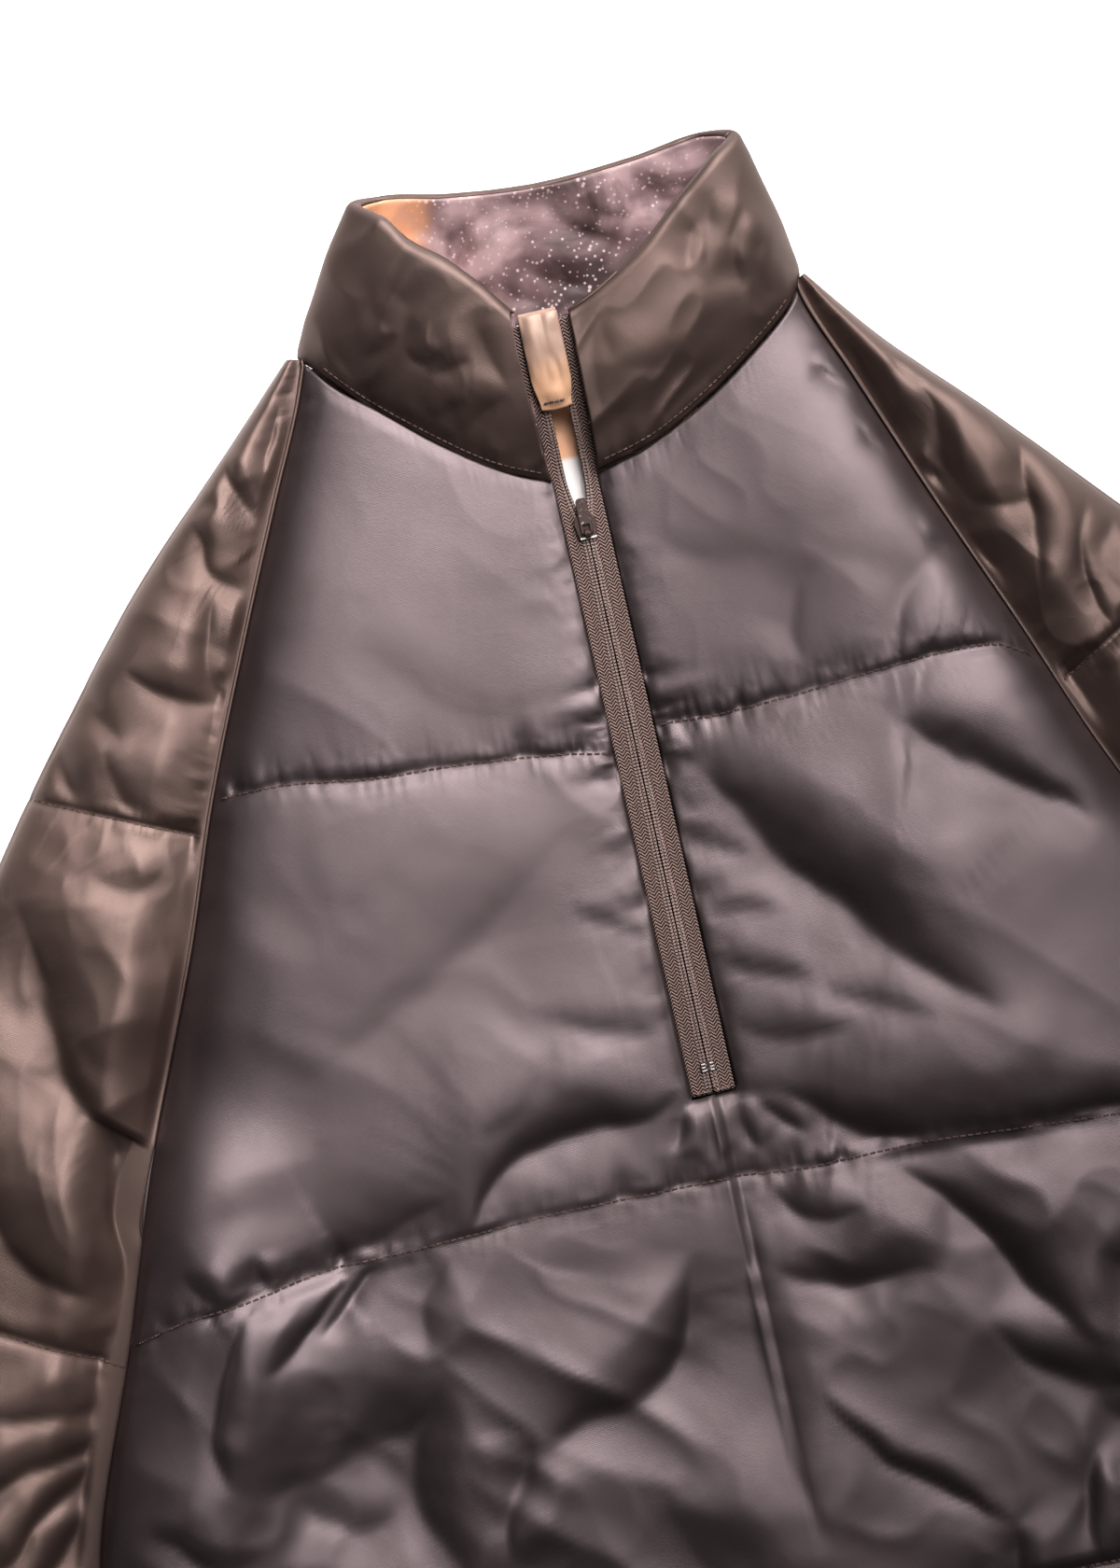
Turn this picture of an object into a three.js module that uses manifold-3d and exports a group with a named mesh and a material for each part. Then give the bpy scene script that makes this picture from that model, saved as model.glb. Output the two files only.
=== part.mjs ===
// An insulated half-zip pullover jacket with a stand collar, lying face up on a flat surface.
// Millimetres, +X to the right of the jacket as it is looked at, +Y towards the collar, +Z up.
// Every panel is a padded wall: a grid of outer points, a plainer grid of inner points, and the
// rims that close it. "side" is -1 on the left of the picture and +1 on the right. "drop" is the
// distance below the point where the zip crosses the neck seam, and is negative above it.
import * as THREE from "three";
import { mergeVertices } from "three/addons/utils/BufferGeometryUtils.js";
import Module from "manifold-3d";

const SEAM_GAP = 0.3; // between two pieces that are sewn together
const ORIGIN_DROP = 260; // the part's origin lies this far below the neck seam, on the underside
const BACK_THICK = 7; // padded back panel
const SLEEVE_WALL = 5.4; // padded sleeve cloth
const SHELL_WALL = 5; // padded outer collar
const LINING_WALL = 1.5; // collar facing and back neck lining
const FRONT_RIM = 1.8; // front panel where it is pressed thin at the side seam
const EDGE_HEIGHT = 9; // top of the two body layers at the side seam
const RAGLAN_HEIGHT = 17; // top of the body and of the sleeve along the raglan seam
const CROWN = 27; // top of the front panel along the zip, before the quilting
const INNER_SHARE = 0.66; // how much of the crown the inside of the front follows
const PUFF = 6; // rise of the padding between two quilting lines
const UNDERARM_ROW = 16; // grid row where the raglan seam ends
const TUCK_LIFT = 16; // the left side of the body rides this high on the tucked sleeve

// Half widths of the body at its raglan and side seams.
const BODY_EDGE = [
  { drop: -77, left: 108, right: 116 },
  { drop: -57, left: 116, right: 118 },
  { drop: -20, left: 134, right: 132 },
  { drop: 44, left: 164, right: 156 },
  { drop: 107, left: 192, right: 181 },
  { drop: 170, left: 216, right: 205 },
  { drop: 248, left: 250, right: 241 },
  { drop: 337, left: 282, right: 280 },
  { drop: 431, left: 317, right: 314 },
  { drop: 528, left: 328, right: 326 },
  { drop: 630, left: 314, right: 314 },
];

// The lines across the body: neck seam, three quilting lines and hem. "middle" is the drop at the
// zip, "left" and "right" the drop at the side, "bend" how late the line turns towards its side.
const CROSS_LINES = {
  neck: { middle: 0, left: -77, right: -62, bendLeft: 1.4, bendRight: 1.7 },
  backNeck: { middle: -72, left: -77, right: -62, bendLeft: 2, bendRight: 2 },
  chest: { middle: 121, left: 106, right: 124, bendLeft: 1.6, bendRight: 5 },
  waist: { middle: 323, left: 338, right: 338, bendLeft: 3, bendRight: 2 },
  hip: { middle: 528, left: 534, right: 532, bendLeft: 2, bendRight: 2 },
  hem: { middle: 630, left: 622, right: 622, bendLeft: 2, bendRight: 2 },
};
// Where the grid rows lie between two cross lines, closer together beside the stitching.
const BAND_ROWS = [0, 0.055, 0.13, 0.24, 0.37, 0.5, 0.63, 0.76, 0.87, 0.945];
const LAST_BAND_ROWS = [0, 0.1, 0.3, 0.55, 0.8, 0.9, 1];

// The largest folds of the front: ridges are positive. Places are x and drop of the two ends.
const FRONT_FOLDS = [
  { x0: -14, drop0: 278, x1: -128, drop1: 318, width: 11, height: -7 },
  { x0: -60, drop0: 262, x1: -150, drop1: 305, width: 16, height: 5 },
  { x0: 14, drop0: 270, x1: 170, drop1: 318, width: 14, height: -8 },
  { x0: 30, drop0: 128, x1: 120, drop1: 232, width: 15, height: -6 },
  { x0: 60, drop0: 118, x1: 165, drop1: 225, width: 17, height: 5 },
  { x0: 112, drop0: 138, x1: 205, drop1: 205, width: 14, height: -5 },
  { x0: 4, drop0: 330, x1: -6, drop1: 410, width: 10, height: 6 },
  { x0: 66, drop0: 338, x1: 150, drop1: 430, width: 15, height: -8 },
  { x0: 20, drop0: 352, x1: 92, drop1: 386, width: 15, height: -6 },
  { x0: -222, drop0: 345, x1: -232, drop1: 420, width: 10, height: -6 },
  { x0: -150, drop0: 400, x1: -168, drop1: 500, width: 16, height: -8 },
  { x0: -128, drop0: 395, x1: -60, drop1: 480, width: 18, height: 6 },
  { x0: 8, drop0: 430, x1: 96, drop1: 500, width: 12, height: -7 },
  { x0: -200, drop0: 555, x1: -60, drop1: 600, width: 15, height: -5 },
  { x0: 60, drop0: 590, x1: 220, drop1: 560, width: 15, height: -5 },
];

// Each sleeve from the neck to the cuff. "inner" is the raglan seam down to the underarm and the
// underarm fold below it, "outer" the fold along the shoulder and the top of the arm.
const SLEEVE_LEFT = {
  side: -1,
  stations: [
    { share: 0, outerX: -119, outerDrop: -80, height: 21 },
    { share: 0.1, outerX: -158, outerDrop: -42, height: 24 },
    { share: 0.22, outerX: -203, outerDrop: 1, height: 27 },
    { share: 0.34, outerX: -247, outerDrop: 52, height: 27 },
    { share: 0.45, outerX: -285, outerDrop: 100, height: 27 },
    { share: 0.62, outerX: -342, outerDrop: 182, height: 30 },
    { share: 0.78, outerX: -399, outerDrop: 285, height: 29 },
    { share: 1, outerX: -492, outerDrop: 520, height: 22 },
  ],
  // The closed rows below the underarm, whose inner fold slips under the side of the body by the
  // width "tucked". "round" is 0 where the fold is still square beside the body.
  tube: [
    { share: 0.63, innerX: -260.6, innerDrop: 272, top: 16.5, low: 3.5, tucked: 14, round: 0 },
    { share: 0.66, innerX: -267.2, innerDrop: 290, top: 15.5, low: 0, tucked: 14, round: 0 },
    { share: 0.695, innerX: -263, innerDrop: 312, top: 15, low: 0, tucked: 18, round: 1 },
    { share: 0.73, innerX: -262, innerDrop: 332, top: 15, low: 0, tucked: 24, round: 1 },
    { share: 0.76, innerX: -265, innerDrop: 348, top: 15, low: 0, tucked: 27, round: 1 },
    { share: 0.78, innerX: -268, innerDrop: 358, top: 15, low: 0, tucked: 29, round: 1 },
    { share: 0.8, innerX: -272, innerDrop: 369, top: 15, low: 0, tucked: 29, round: 1 },
    { share: 0.85, innerX: -288, innerDrop: 408, top: 15, low: 0, tucked: 27, round: 1 },
    { share: 0.9, innerX: -311, innerDrop: 455, top: 15, low: 0, tucked: 20, round: 1 },
    { share: 0.95, innerX: -343, innerDrop: 508, top: 14, low: 0, tucked: 10, round: 1 },
    { share: 1, innerX: -377, innerDrop: 560, top: 13, low: 0, tucked: 8, round: 1 },
  ],
  quiltShares: [0.42, 0.78],
};
const SLEEVE_RIGHT = {
  side: 1,
  stations: [
    { share: 0, outerX: 126, outerDrop: -68, height: 21 },
    { share: 0.1, outerX: 152, outerDrop: -32, height: 25 },
    { share: 0.22, outerX: 194, outerDrop: 13, height: 28 },
    { share: 0.34, outerX: 237, outerDrop: 61, height: 28 },
    { share: 0.45, outerX: 280, outerDrop: 108, height: 28 },
    { share: 0.62, outerX: 345, outerDrop: 190, height: 30 },
    { share: 0.78, outerX: 420, outerDrop: 292, height: 29 },
    { share: 1, outerX: 545, outerDrop: 505, height: 22 },
  ],
  tube: [
    { share: 0.63, innerX: 253.4, innerDrop: 275, top: 11, low: 0, tucked: 14, round: 0 },
    { share: 0.66, innerX: 263, innerDrop: 295, top: 13, low: 0, tucked: 14, round: 0 },
    { share: 0.695, innerX: 280, innerDrop: 316, top: 14, low: 0, tucked: 12, round: 1 },
    { share: 0.73, innerX: 294, innerDrop: 340, top: 15, low: 0, tucked: 10, round: 1 },
    { share: 0.76, innerX: 308, innerDrop: 358, top: 15, low: 0, tucked: 10, round: 1 },
    { share: 0.78, innerX: 317, innerDrop: 371, top: 15, low: 0, tucked: 10, round: 1 },
    { share: 0.8, innerX: 326, innerDrop: 384, top: 15, low: 0, tucked: 10, round: 1 },
    { share: 0.85, innerX: 350, innerDrop: 424, top: 15, low: 0, tucked: 10, round: 1 },
    { share: 0.9, innerX: 375, innerDrop: 470, top: 15, low: 0, tucked: 10, round: 1 },
    { share: 0.95, innerX: 403, innerDrop: 517, top: 14, low: 0, tucked: 8, round: 1 },
    { share: 1, innerX: 432, innerDrop: 562, top: 13, low: 0, tucked: 8, round: 1 },
  ],
  quiltShares: [0.42, 0.78],
};
const UNDERARM_SHARE = 0.6;
const SLEEVE_QUILT_DEPTH = 4;
const SLEEVE_QUILT_WIDTH = 0.02;

const ZIP = {
  tapeThick: 1.2,
  tapeOuter: 10,
  sunk: 3, // tape surface below the crown of the front
  bottomDrop: 284,
  slotBottomDrop: 285,
  topDrop: -70,
  openDrop: 12, // the two tapes part above here
  gapHalf: 3.6,
  rows: 26,
  sliderDrop: 22,
};

const lerp = (a, b, t) => a + (b - a) * t;
const smooth = (a, b, x) => {
  const t = Math.min(1, Math.max(0, (x - a) / (b - a)));
  return t * t * (3 - 2 * t);
};

// The value of one column of a table at a place in its key column, on a smooth curve.
function tableAt(table, key, column, at) {
  const last = table.length - 1;
  let i = 0;
  while (i < last - 1 && at > table[i + 1][key]) i += 1;
  const t = Math.min(1, Math.max(0, (at - table[i][key]) / (table[i + 1][key] - table[i][key])));
  const span = table[i + 1][key] - table[i][key];
  const slope = (k) => {
    const lo = Math.max(0, k - 1);
    const hi = Math.min(last, k + 1);
    return (table[hi][column] - table[lo][column]) / (table[hi][key] - table[lo][key]);
  };
  const t2 = t * t;
  const t3 = t2 * t;
  return (
    (2 * t3 - 3 * t2 + 1) * table[i][column] +
    (t3 - 2 * t2 + t) * span * slope(i) +
    (3 * t2 - 2 * t3) * table[i + 1][column] +
    (t3 - t2) * span * slope(i + 1)
  );
}

// A closed wall between two grids of points. cells(i, j) says whether a cell is there, and a grid
// that goes round joins its last column to its first.
function wall(outer, inner, round, cells) {
  const rows = outer.length;
  const cols = outer[0].length;
  const spans = round ? cols : cols - 1;
  const there = (i, j) => {
    const k = round ? (j + cols) % cols : j;
    return i >= 0 && i < rows - 1 && k >= 0 && k < spans && cells(i, k);
  };
  const flat = [];
  const push = (...points) => points.forEach((p) => flat.push(p.x, p.y, p.z));
  const quad = (a, b, c, d) => {
    push(a, b, c);
    push(a, c, d);
  };
  for (let i = 0; i < rows - 1; i += 1) {
    for (let j = 0; j < spans; j += 1) {
      if (!there(i, j)) continue;
      const k = (j + 1) % cols;
      quad(outer[i][j], outer[i + 1][j], outer[i + 1][k], outer[i][k]);
      quad(inner[i][j], inner[i][k], inner[i + 1][k], inner[i + 1][j]);
      if (!there(i - 1, j)) quad(outer[i][j], outer[i][k], inner[i][k], inner[i][j]);
      if (!there(i + 1, j)) {
        quad(outer[i + 1][k], outer[i + 1][j], inner[i + 1][j], inner[i + 1][k]);
      }
      if (!there(i, j - 1)) quad(outer[i + 1][j], outer[i][j], inner[i][j], inner[i + 1][j]);
      if (!there(i, j + 1)) quad(outer[i][k], outer[i + 1][k], inner[i + 1][k], inner[i][k]);
    }
  }
  const geometry = new THREE.BufferGeometry();
  geometry.setAttribute("position", new THREE.Float32BufferAttribute(flat, 3));
  return geometry;
}

const everyCell = () => true;
const at = (x, drop, z) => new THREE.Vector3(x, -drop, z);

// The grid rows of the body: which two cross lines each lies between, and how far.
function bodyRows(firstLine) {
  const rows = [];
  const bands = [
    [firstLine, "chest"],
    ["chest", "waist"],
    ["waist", "hip"],
    ["hip", "hem"],
  ];
  bands.forEach(([from, to], band) => {
    const fractions = band === bands.length - 1 ? LAST_BAND_ROWS : BAND_ROWS;
    fractions.forEach((share) => rows.push({ from, to, share, band }));
  });
  return rows;
}

// The drop of a cross line, from -1 at the left side to 1 at the right.
function lineDrop(name, across) {
  const line = CROSS_LINES[name];
  const bend = across < 0 ? line.bendLeft : line.bendRight;
  const end = across < 0 ? line.left : line.right;
  return lerp(line.middle, end, Math.abs(across) ** bend);
}

const rowDrop = (row, across) =>
  lerp(lineDrop(row.from, across), lineDrop(row.to, across), row.share);

const edgeX = (side, drop) =>
  side * tableAt(BODY_EDGE, "drop", side < 0 ? "left" : "right", drop);

// Where the padding lies along a row: x and drop at a place across, outside the zip slot.
function bodyPoint(row, across, slotHalf) {
  const side = across < 0 ? -1 : 1;
  const edge = edgeX(side, rowDrop(row, side));
  return { x: lerp(side * slotHalf, edge, Math.abs(across)), drop: rowDrop(row, across) };
}

// How far the body is raised at its left side, where the sleeve is tucked under it.
function lift(x, drop) {
  const innerX = tableAt(SLEEVE_LEFT.tube, "innerDrop", "innerX", Math.max(272, drop));
  const rampIn = smooth(215, 288, drop);
  const reach = smooth(innerX + 84, innerX + 20, x);
  return TUCK_LIFT * rampIn * reach;
}

// Height that the folds add at a point.
function foldHeight(folds, x, drop) {
  return folds.reduce((sum, fold) => {
    const dx = fold.x1 - fold.x0;
    const dd = fold.drop1 - fold.drop0;
    const length = Math.hypot(dx, dd);
    const along = ((x - fold.x0) * dx + (drop - fold.drop0) * dd) / length;
    const off = ((x - fold.x0) * dd - (drop - fold.drop0) * dx) / length;
    const start = smooth(-fold.width, length * 0.3, along);
    const end = smooth(length + fold.width, length * 0.7, along);
    return sum + fold.height * start * end * Math.exp(-((off / fold.width) ** 2));
  }, 0);
}

const sideFall = (across) => Math.sqrt(Math.max(0, 1 - Math.abs(across) ** 5));
const bandPuff = (share) => Math.sqrt(Math.max(0, 1 - Math.abs(2 * share - 1) ** 5));

// Crown of the front above the surface, lower at the neck and the hem.
const crownAt = (drop) => CROWN - 3 * smooth(40, -40, drop) - 7 * smooth(520, 630, drop);

// Top of the body's side edge, high along the raglan seam and low down the side seam.
const edgeHeight = (drop) => lerp(RAGLAN_HEIGHT, EDGE_HEIGHT, smooth(175, 250, drop));

function frontHeights(row, across, point) {
  const fall = sideFall(across);
  const raised = lift(point.x, point.drop);
  const edge = raised + edgeHeight(point.drop);
  const rise = crownAt(point.drop) + raised - edge;
  const nearHem = row.band === 3 ? 0.35 : 1;
  const puff = PUFF * nearHem * bandPuff(row.share) * fall;
  const folds = foldHeight(FRONT_FOLDS, point.x, point.drop) * fall;
  const inside = edge - FRONT_RIM + 0.1 + rise * INNER_SHARE * fall;
  return { outer: edge + rise * fall + puff + folds, inner: inside };
}

// Columns across the front. The two middle ones are the edges of the zip slot.
const FRONT_ACROSS = [
  -1, -0.975, -0.93, -0.86, -0.77, -0.67, -0.57, -0.47, -0.37, -0.28, -0.2, -0.12, -0.055, 0,
  0, 0.055, 0.12, 0.2, 0.28, 0.37, 0.47, 0.57, 0.67, 0.77, 0.86, 0.93, 0.975, 1,
];
const SLOT_COLUMN = FRONT_ACROSS.indexOf(0);

const SLOT_HALF = ZIP.tapeOuter + SEAM_GAP;

function frontPanel() {
  const rows = bodyRows("neck");
  const outer = [];
  const inner = [];
  rows.forEach((row) => {
    const outerRow = [];
    const innerRow = [];
    FRONT_ACROSS.forEach((across, column) => {
      const side = column <= SLOT_COLUMN ? -1 : 1;
      const point = bodyPoint(row, across === 0 ? side * 1e-9 : across, SLOT_HALF);
      const z = frontHeights(row, across, point);
      outerRow.push(at(point.x, point.drop, z.outer));
      innerRow.push(at(point.x, point.drop, z.inner));
    });
    outer.push(outerRow);
    inner.push(innerRow);
  });
  const closedRow = rows.findIndex((row) => rowDrop(row, 0) > ZIP.slotBottomDrop);
  for (const grid of [outer, inner]) {
    for (const column of [SLOT_COLUMN, SLOT_COLUMN + 1]) {
      const point = grid[closedRow][column];
      point.y = -ZIP.slotBottomDrop;
    }
  }
  return wall(outer, inner, false, (i, j) => j !== SLOT_COLUMN || i >= closedRow);
}

const BACK_ACROSS = [-1, -0.93, -0.84, -0.72, -0.55, -0.3, 0, 0.3, 0.6, 0.85, 1];

function backPanel() {
  const outer = [];
  const inner = [];
  bodyRows("backNeck").forEach((row) => {
    const lower = [];
    const upper = [];
    BACK_ACROSS.forEach((across) => {
      const point = bodyPoint(row, across, 0);
      const raised = lift(point.x, point.drop);
      lower.push(at(point.x, point.drop, raised));
      upper.push(at(point.x, point.drop, raised + BACK_THICK));
    });
    outer.push(upper);
    inner.push(lower);
  });
  return wall(outer, inner, false, everyCell);
}

function backLining() {
  const width = [-62, -40, -15, 15, 40, 62];
  const drops = [-70, -45, -20, 5, 30, 60];
  const grid = (z) => drops.map((drop) => width.map((x) => at(x, drop, z)));
  const base = BACK_THICK + SEAM_GAP;
  return wall(grid(base + LINING_WALL), grid(base), false, everyCell);
}

// One section of a sleeve: a flattened ring, from its inner end over the top to the outer fold and
// back underneath. Points come in the order of its columns, each with the direction out of the ring.
const TUCKED_ACROSS = [0, 0.5];
const TOP_ACROSS = [0, 0.06, 0.16, 0.34, 0.54, 0.72, 0.87, 0.96];
const FOLD_TURNS = [0.3, 0.5, 0.7];
const UNDER_ACROSS = [0.95, 0.8, 0.55, 0.3, 0.1, 0];
const CLOSE_TURNS = [0.3, 0.5, 0.7];

function sleeveSection(inner, outer, height, end) {
  const span = new THREE.Vector2(outer.x - inner.x, outer.y - inner.y);
  const length = span.length();
  span.normalize();
  const foldTop = Math.min(13, height);
  const roundIn = Math.min(foldTop / 2, length * 0.35);
  const points = [];
  const put = (along, z, outAlong, outZ) => points.push({ along, z, outAlong, outZ });
  const reach = length - roundIn;
  const tucked = Math.min(end.tucked, reach * 0.25);
  TUCKED_ACROSS.forEach((w) => put(w * tucked, end.top, w > 0 ? 0 : -end.square, 1));
  TOP_ACROSS.forEach((w) => {
    const arch = Math.sqrt(Math.max(0, 1 - Math.abs(2 * w - 1) ** 3.2));
    const base = lerp(end.top, foldTop, w);
    put(lerp(tucked, reach, w), base + Math.max(0, height - base) * arch, 0, 1);
  });
  FOLD_TURNS.forEach((turn) => {
    const angle = Math.PI * (0.5 - turn);
    put(
      reach + roundIn * Math.cos(angle),
      foldTop / 2 + (foldTop / 2) * Math.sin(angle),
      Math.cos(angle),
      Math.sin(angle),
    );
  });
  UNDER_ACROSS.forEach((w) => {
    put(w * reach, end.low * smooth(0.6, 0.05, w), w > 0 ? 0 : -end.square, -1);
  });
  const middle = (end.top + end.low) / 2;
  const half = (end.top - end.low) / 2;
  CLOSE_TURNS.forEach((turn) => {
    const angle = Math.PI * (-0.5 - turn);
    const out = Math.cos(angle);
    const side = end.square ? -1 : out;
    put(half * out * end.round, middle + half * Math.sin(angle), side, Math.sin(angle));
  });
  const endWall = Math.min(SLEEVE_WALL, half - 0.5);
  const foldWall = Math.min(SLEEVE_WALL, roundIn - 0.6);
  const place = (p, share) => {
    const inward = share * lerp(endWall, foldWall, smooth(0.3 * reach, 0.7 * reach, p.along));
    const along = p.along - p.outAlong * inward;
    const z = p.z - p.outZ * inward;
    return new THREE.Vector3(inner.x + span.x * along, inner.y + span.y * along, z);
  };
  return { outer: points.map((p) => place(p, 0)), inner: points.map((p) => place(p, 1)) };
}

function sleeve(plan) {
  const outer = [];
  const inner = [];
  const add = (share, innerPoint, end) => {
    const outerPoint = at(
      tableAt(plan.stations, "share", "outerX", share),
      tableAt(plan.stations, "share", "outerDrop", share),
      0,
    );
    const dip = plan.quiltShares.reduce(
      (sum, q) => sum + Math.exp(-(((share - q) / SLEEVE_QUILT_WIDTH) ** 2)),
      0,
    );
    const height = tableAt(plan.stations, "share", "height", share) - SLEEVE_QUILT_DEPTH * dip;
    const section = sleeveSection(innerPoint, outerPoint, height, end);
    outer.push(section.outer);
    inner.push(section.inner);
  };
  const rows = bodyRows("neck");
  for (let i = 0; i <= UNDERARM_ROW; i += 1) {
    const drop = rowDrop(rows[i], plan.side);
    const x = edgeX(plan.side, drop) + plan.side * SEAM_GAP;
    const low = lift(x, drop);
    const square = i === UNDERARM_ROW ? 1 : 0;
    const top = low + edgeHeight(drop);
    const end = { top, low, tucked: 5 + 5 * square, round: 0, square };
    add((UNDERARM_SHARE * i) / UNDERARM_ROW, at(x, drop, 0), end);
  }
  plan.tube.forEach((row) => {
    add(row.share, at(row.innerX, row.innerDrop, 0), { ...row, square: 1 - row.round });
  });
  const columns = [TUCKED_ACROSS, TOP_ACROSS, FOLD_TURNS, UNDER_ACROSS];
  const closing = columns.reduce((sum, list) => sum + list.length, 0) - 1;
  const isThere = (i, j) => i >= UNDERARM_ROW || j < closing;
  return plan.side < 0 ? wall(inner, outer, true, isThere) : wall(outer, inner, true, isThere);
}

// The collar, from the left of the zip round the back to the right of it. "base" is its seam and
// "top" its free edge, both on the outer cloth, which faces up on the two wings and down behind.
// The wings meet the front panel, so their base drop comes from its neck line.
const neckDrop = (x) => {
  const side = Math.sign(x);
  const edge = side * edgeX(side, side < 0 ? CROSS_LINES.neck.left : CROSS_LINES.neck.right);
  const across = Math.min(1, Math.max(0, side * x - SLOT_HALF) / (edge - SLOT_HALF));
  return lineDrop("neck", side * across) - SEAM_GAP;
};
const COLLAR = [
  { share: 0, baseX: -11.2, baseDrop: neckDrop(-11.2), baseZ: 27, topX: -12.8, topDrop: -76, topZ: 49 },
  { share: 0.08, baseX: -36, baseDrop: neckDrop(-36), baseZ: 27, topX: -22, topDrop: -89, topZ: 50 },
  { share: 0.16, baseX: -62, baseDrop: neckDrop(-62), baseZ: 26, topX: -36, topDrop: -105, topZ: 50 },
  { share: 0.24, baseX: -88, baseDrop: neckDrop(-88), baseZ: 24, topX: -50, topDrop: -117, topZ: 48 },
  { share: 0.29, baseX: -104, baseDrop: neckDrop(-104), baseZ: 21, topX: -60, topDrop: -131, topZ: 46 },
  { share: 0.32, baseX: -112, baseDrop: -83, baseZ: 11, topX: -72, topDrop: -143, topZ: 34 },
  { share: 0.35, baseX: -100, baseDrop: -82, baseZ: 1, topX: -58, topDrop: -145, topZ: 21 },
  { share: 0.42, baseX: -55, baseDrop: -77.5, baseZ: 0.4, topX: -28, topDrop: -139, topZ: 20 },
  { share: 0.5, baseX: 5, baseDrop: -76, baseZ: 0.4, topX: 12, topDrop: -135, topZ: 20 },
  { share: 0.58, baseX: 62, baseDrop: -74, baseZ: 0.4, topX: 56, topDrop: -137, topZ: 20 },
  { share: 0.65, baseX: 108, baseDrop: -70, baseZ: 1.5, topX: 90, topDrop: -141, topZ: 21 },
  { share: 0.68, baseX: 121, baseDrop: -70, baseZ: 11, topX: 105, topDrop: -136, topZ: 34 },
  { share: 0.71, baseX: 114, baseDrop: neckDrop(114), baseZ: 21, topX: 92, topDrop: -125, topZ: 46 },
  { share: 0.76, baseX: 97, baseDrop: neckDrop(97), baseZ: 24, topX: 74, topDrop: -111, topZ: 48 },
  { share: 0.84, baseX: 69, baseDrop: neckDrop(69), baseZ: 26, topX: 52, topDrop: -92, topZ: 50 },
  { share: 0.92, baseX: 40, baseDrop: neckDrop(40), baseZ: 27, topX: 31, topDrop: -79, topZ: 50 },
  { share: 1, baseX: 11.2, baseDrop: neckDrop(11.2), baseZ: 27, topX: 13, topDrop: -71, topZ: 48 },
];
const COLLAR_COLUMNS = 46;
const COLLAR_ROWS = 5;
const COLLAR_BULGE = 5; // outward swell of the padded collar half way up
const COLLAR_GAP = 0.5; // between the shell and its facing, along the bends

function collarSurface(inward) {
  const place = (share, up) => {
    const mix = (base, top) =>
      lerp(tableAt(COLLAR, "share", base, share), tableAt(COLLAR, "share", top, share), up);
    return at(mix("baseX", "topX"), mix("baseDrop", "topDrop"), mix("baseZ", "topZ"));
  };
  const step = 1e-3;
  const grid = [];
  for (let i = 0; i <= COLLAR_ROWS; i += 1) {
    const row = [];
    const up = i / COLLAR_ROWS;
    for (let j = 0; j <= COLLAR_COLUMNS; j += 1) {
      const share = j / COLLAR_COLUMNS;
      const here = place(share, up);
      const round = place(Math.min(1, share + step), up).sub(place(Math.max(0, share - step), up));
      const rise = place(share, 1).sub(place(share, 0));
      const normal = round.cross(rise).normalize();
      const bulge = COLLAR_BULGE * Math.sin(Math.PI * up) * Math.abs(normal.z);
      row.push(here.addScaledVector(normal, inward - bulge * (inward === 0 ? 1 : 0.5)));
    }
    grid.push(row);
  }
  return grid;
}

const collarShell = () => wall(collarSurface(0), collarSurface(SHELL_WALL), false, everyCell);
const collarLining = () =>
  wall(
    collarSurface(SHELL_WALL + COLLAR_GAP),
    collarSurface(SHELL_WALL + COLLAR_GAP + LINING_WALL),
    false,
    everyCell,
  );

// Height of the zip tape's top face, flat along the open stretch of the body.
function tapeTop(drop) {
  const onBody = crownAt(Math.max(drop, 0)) - ZIP.sunk;
  return onBody + 21 * smooth(6, -76, drop);
}

function zipTape(side) {
  const outer = [];
  const inner = [];
  for (let i = 0; i <= ZIP.rows; i += 1) {
    const drop = lerp(ZIP.topDrop, ZIP.bottomDrop, i / ZIP.rows);
    const parted = smooth(ZIP.openDrop + 18, ZIP.openDrop - 14, drop);
    const near = side * lerp(SEAM_GAP / 2, ZIP.gapHalf, parted);
    const far = side * ZIP.tapeOuter;
    const xs = side < 0 ? [far, near] : [near, far];
    outer.push(xs.map((x) => at(x, drop, tapeTop(drop))));
    inner.push(xs.map((x) => at(x, drop, tapeTop(drop) - ZIP.tapeThick)));
  }
  return wall(outer, inner, false, everyCell);
}

const wasm = await Module();
wasm.setup();

// A closed geometry as a solid that can be joined and cut.
function solidOf(geometry) {
  const bare = geometry.clone();
  bare.deleteAttribute("normal");
  bare.deleteAttribute("uv");
  const merged = mergeVertices(bare, 1e-4);
  return new wasm.Manifold(
    new wasm.Mesh({
      numProp: 3,
      vertProperties: merged.attributes.position.array,
      triVerts: new Uint32Array(merged.index.array),
    }),
  );
}

function geometryOf(solid) {
  const mesh = solid.getMesh();
  const geometry = new THREE.BufferGeometry();
  geometry.setAttribute("position", new THREE.BufferAttribute(mesh.vertProperties, 3));
  geometry.setIndex(new THREE.BufferAttribute(mesh.triVerts, 1));
  return geometry;
}

const block = (width, depth, height, x, y, z) =>
  new THREE.BoxGeometry(width, depth, height).translate(x, y, z);

// An outline extruded upwards.
function plate(outline, height, z) {
  return new THREE.ExtrudeGeometry(outline, { depth: height, bevelEnabled: false }).translate(0, 0, z);
}

const SLIDER = {
  plateThick: 1.4,
  clear: 0.6, // between a slider plate and the tape
  tailHalf: 4.1,
  mouthHalf: 5.2,
  below: 6, // from the slider's middle to its tail
  above: 6,
  postHalf: 1.1,
  crownHalf: 1.1,
  crownBore: 1.25,
  crownWall: 0.8,
};
const PULL = { half: 2.7, long: 16, thick: 1.1, windowHalf: 1.5, windowLong: 3.4, bar: 1.1 };

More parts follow.
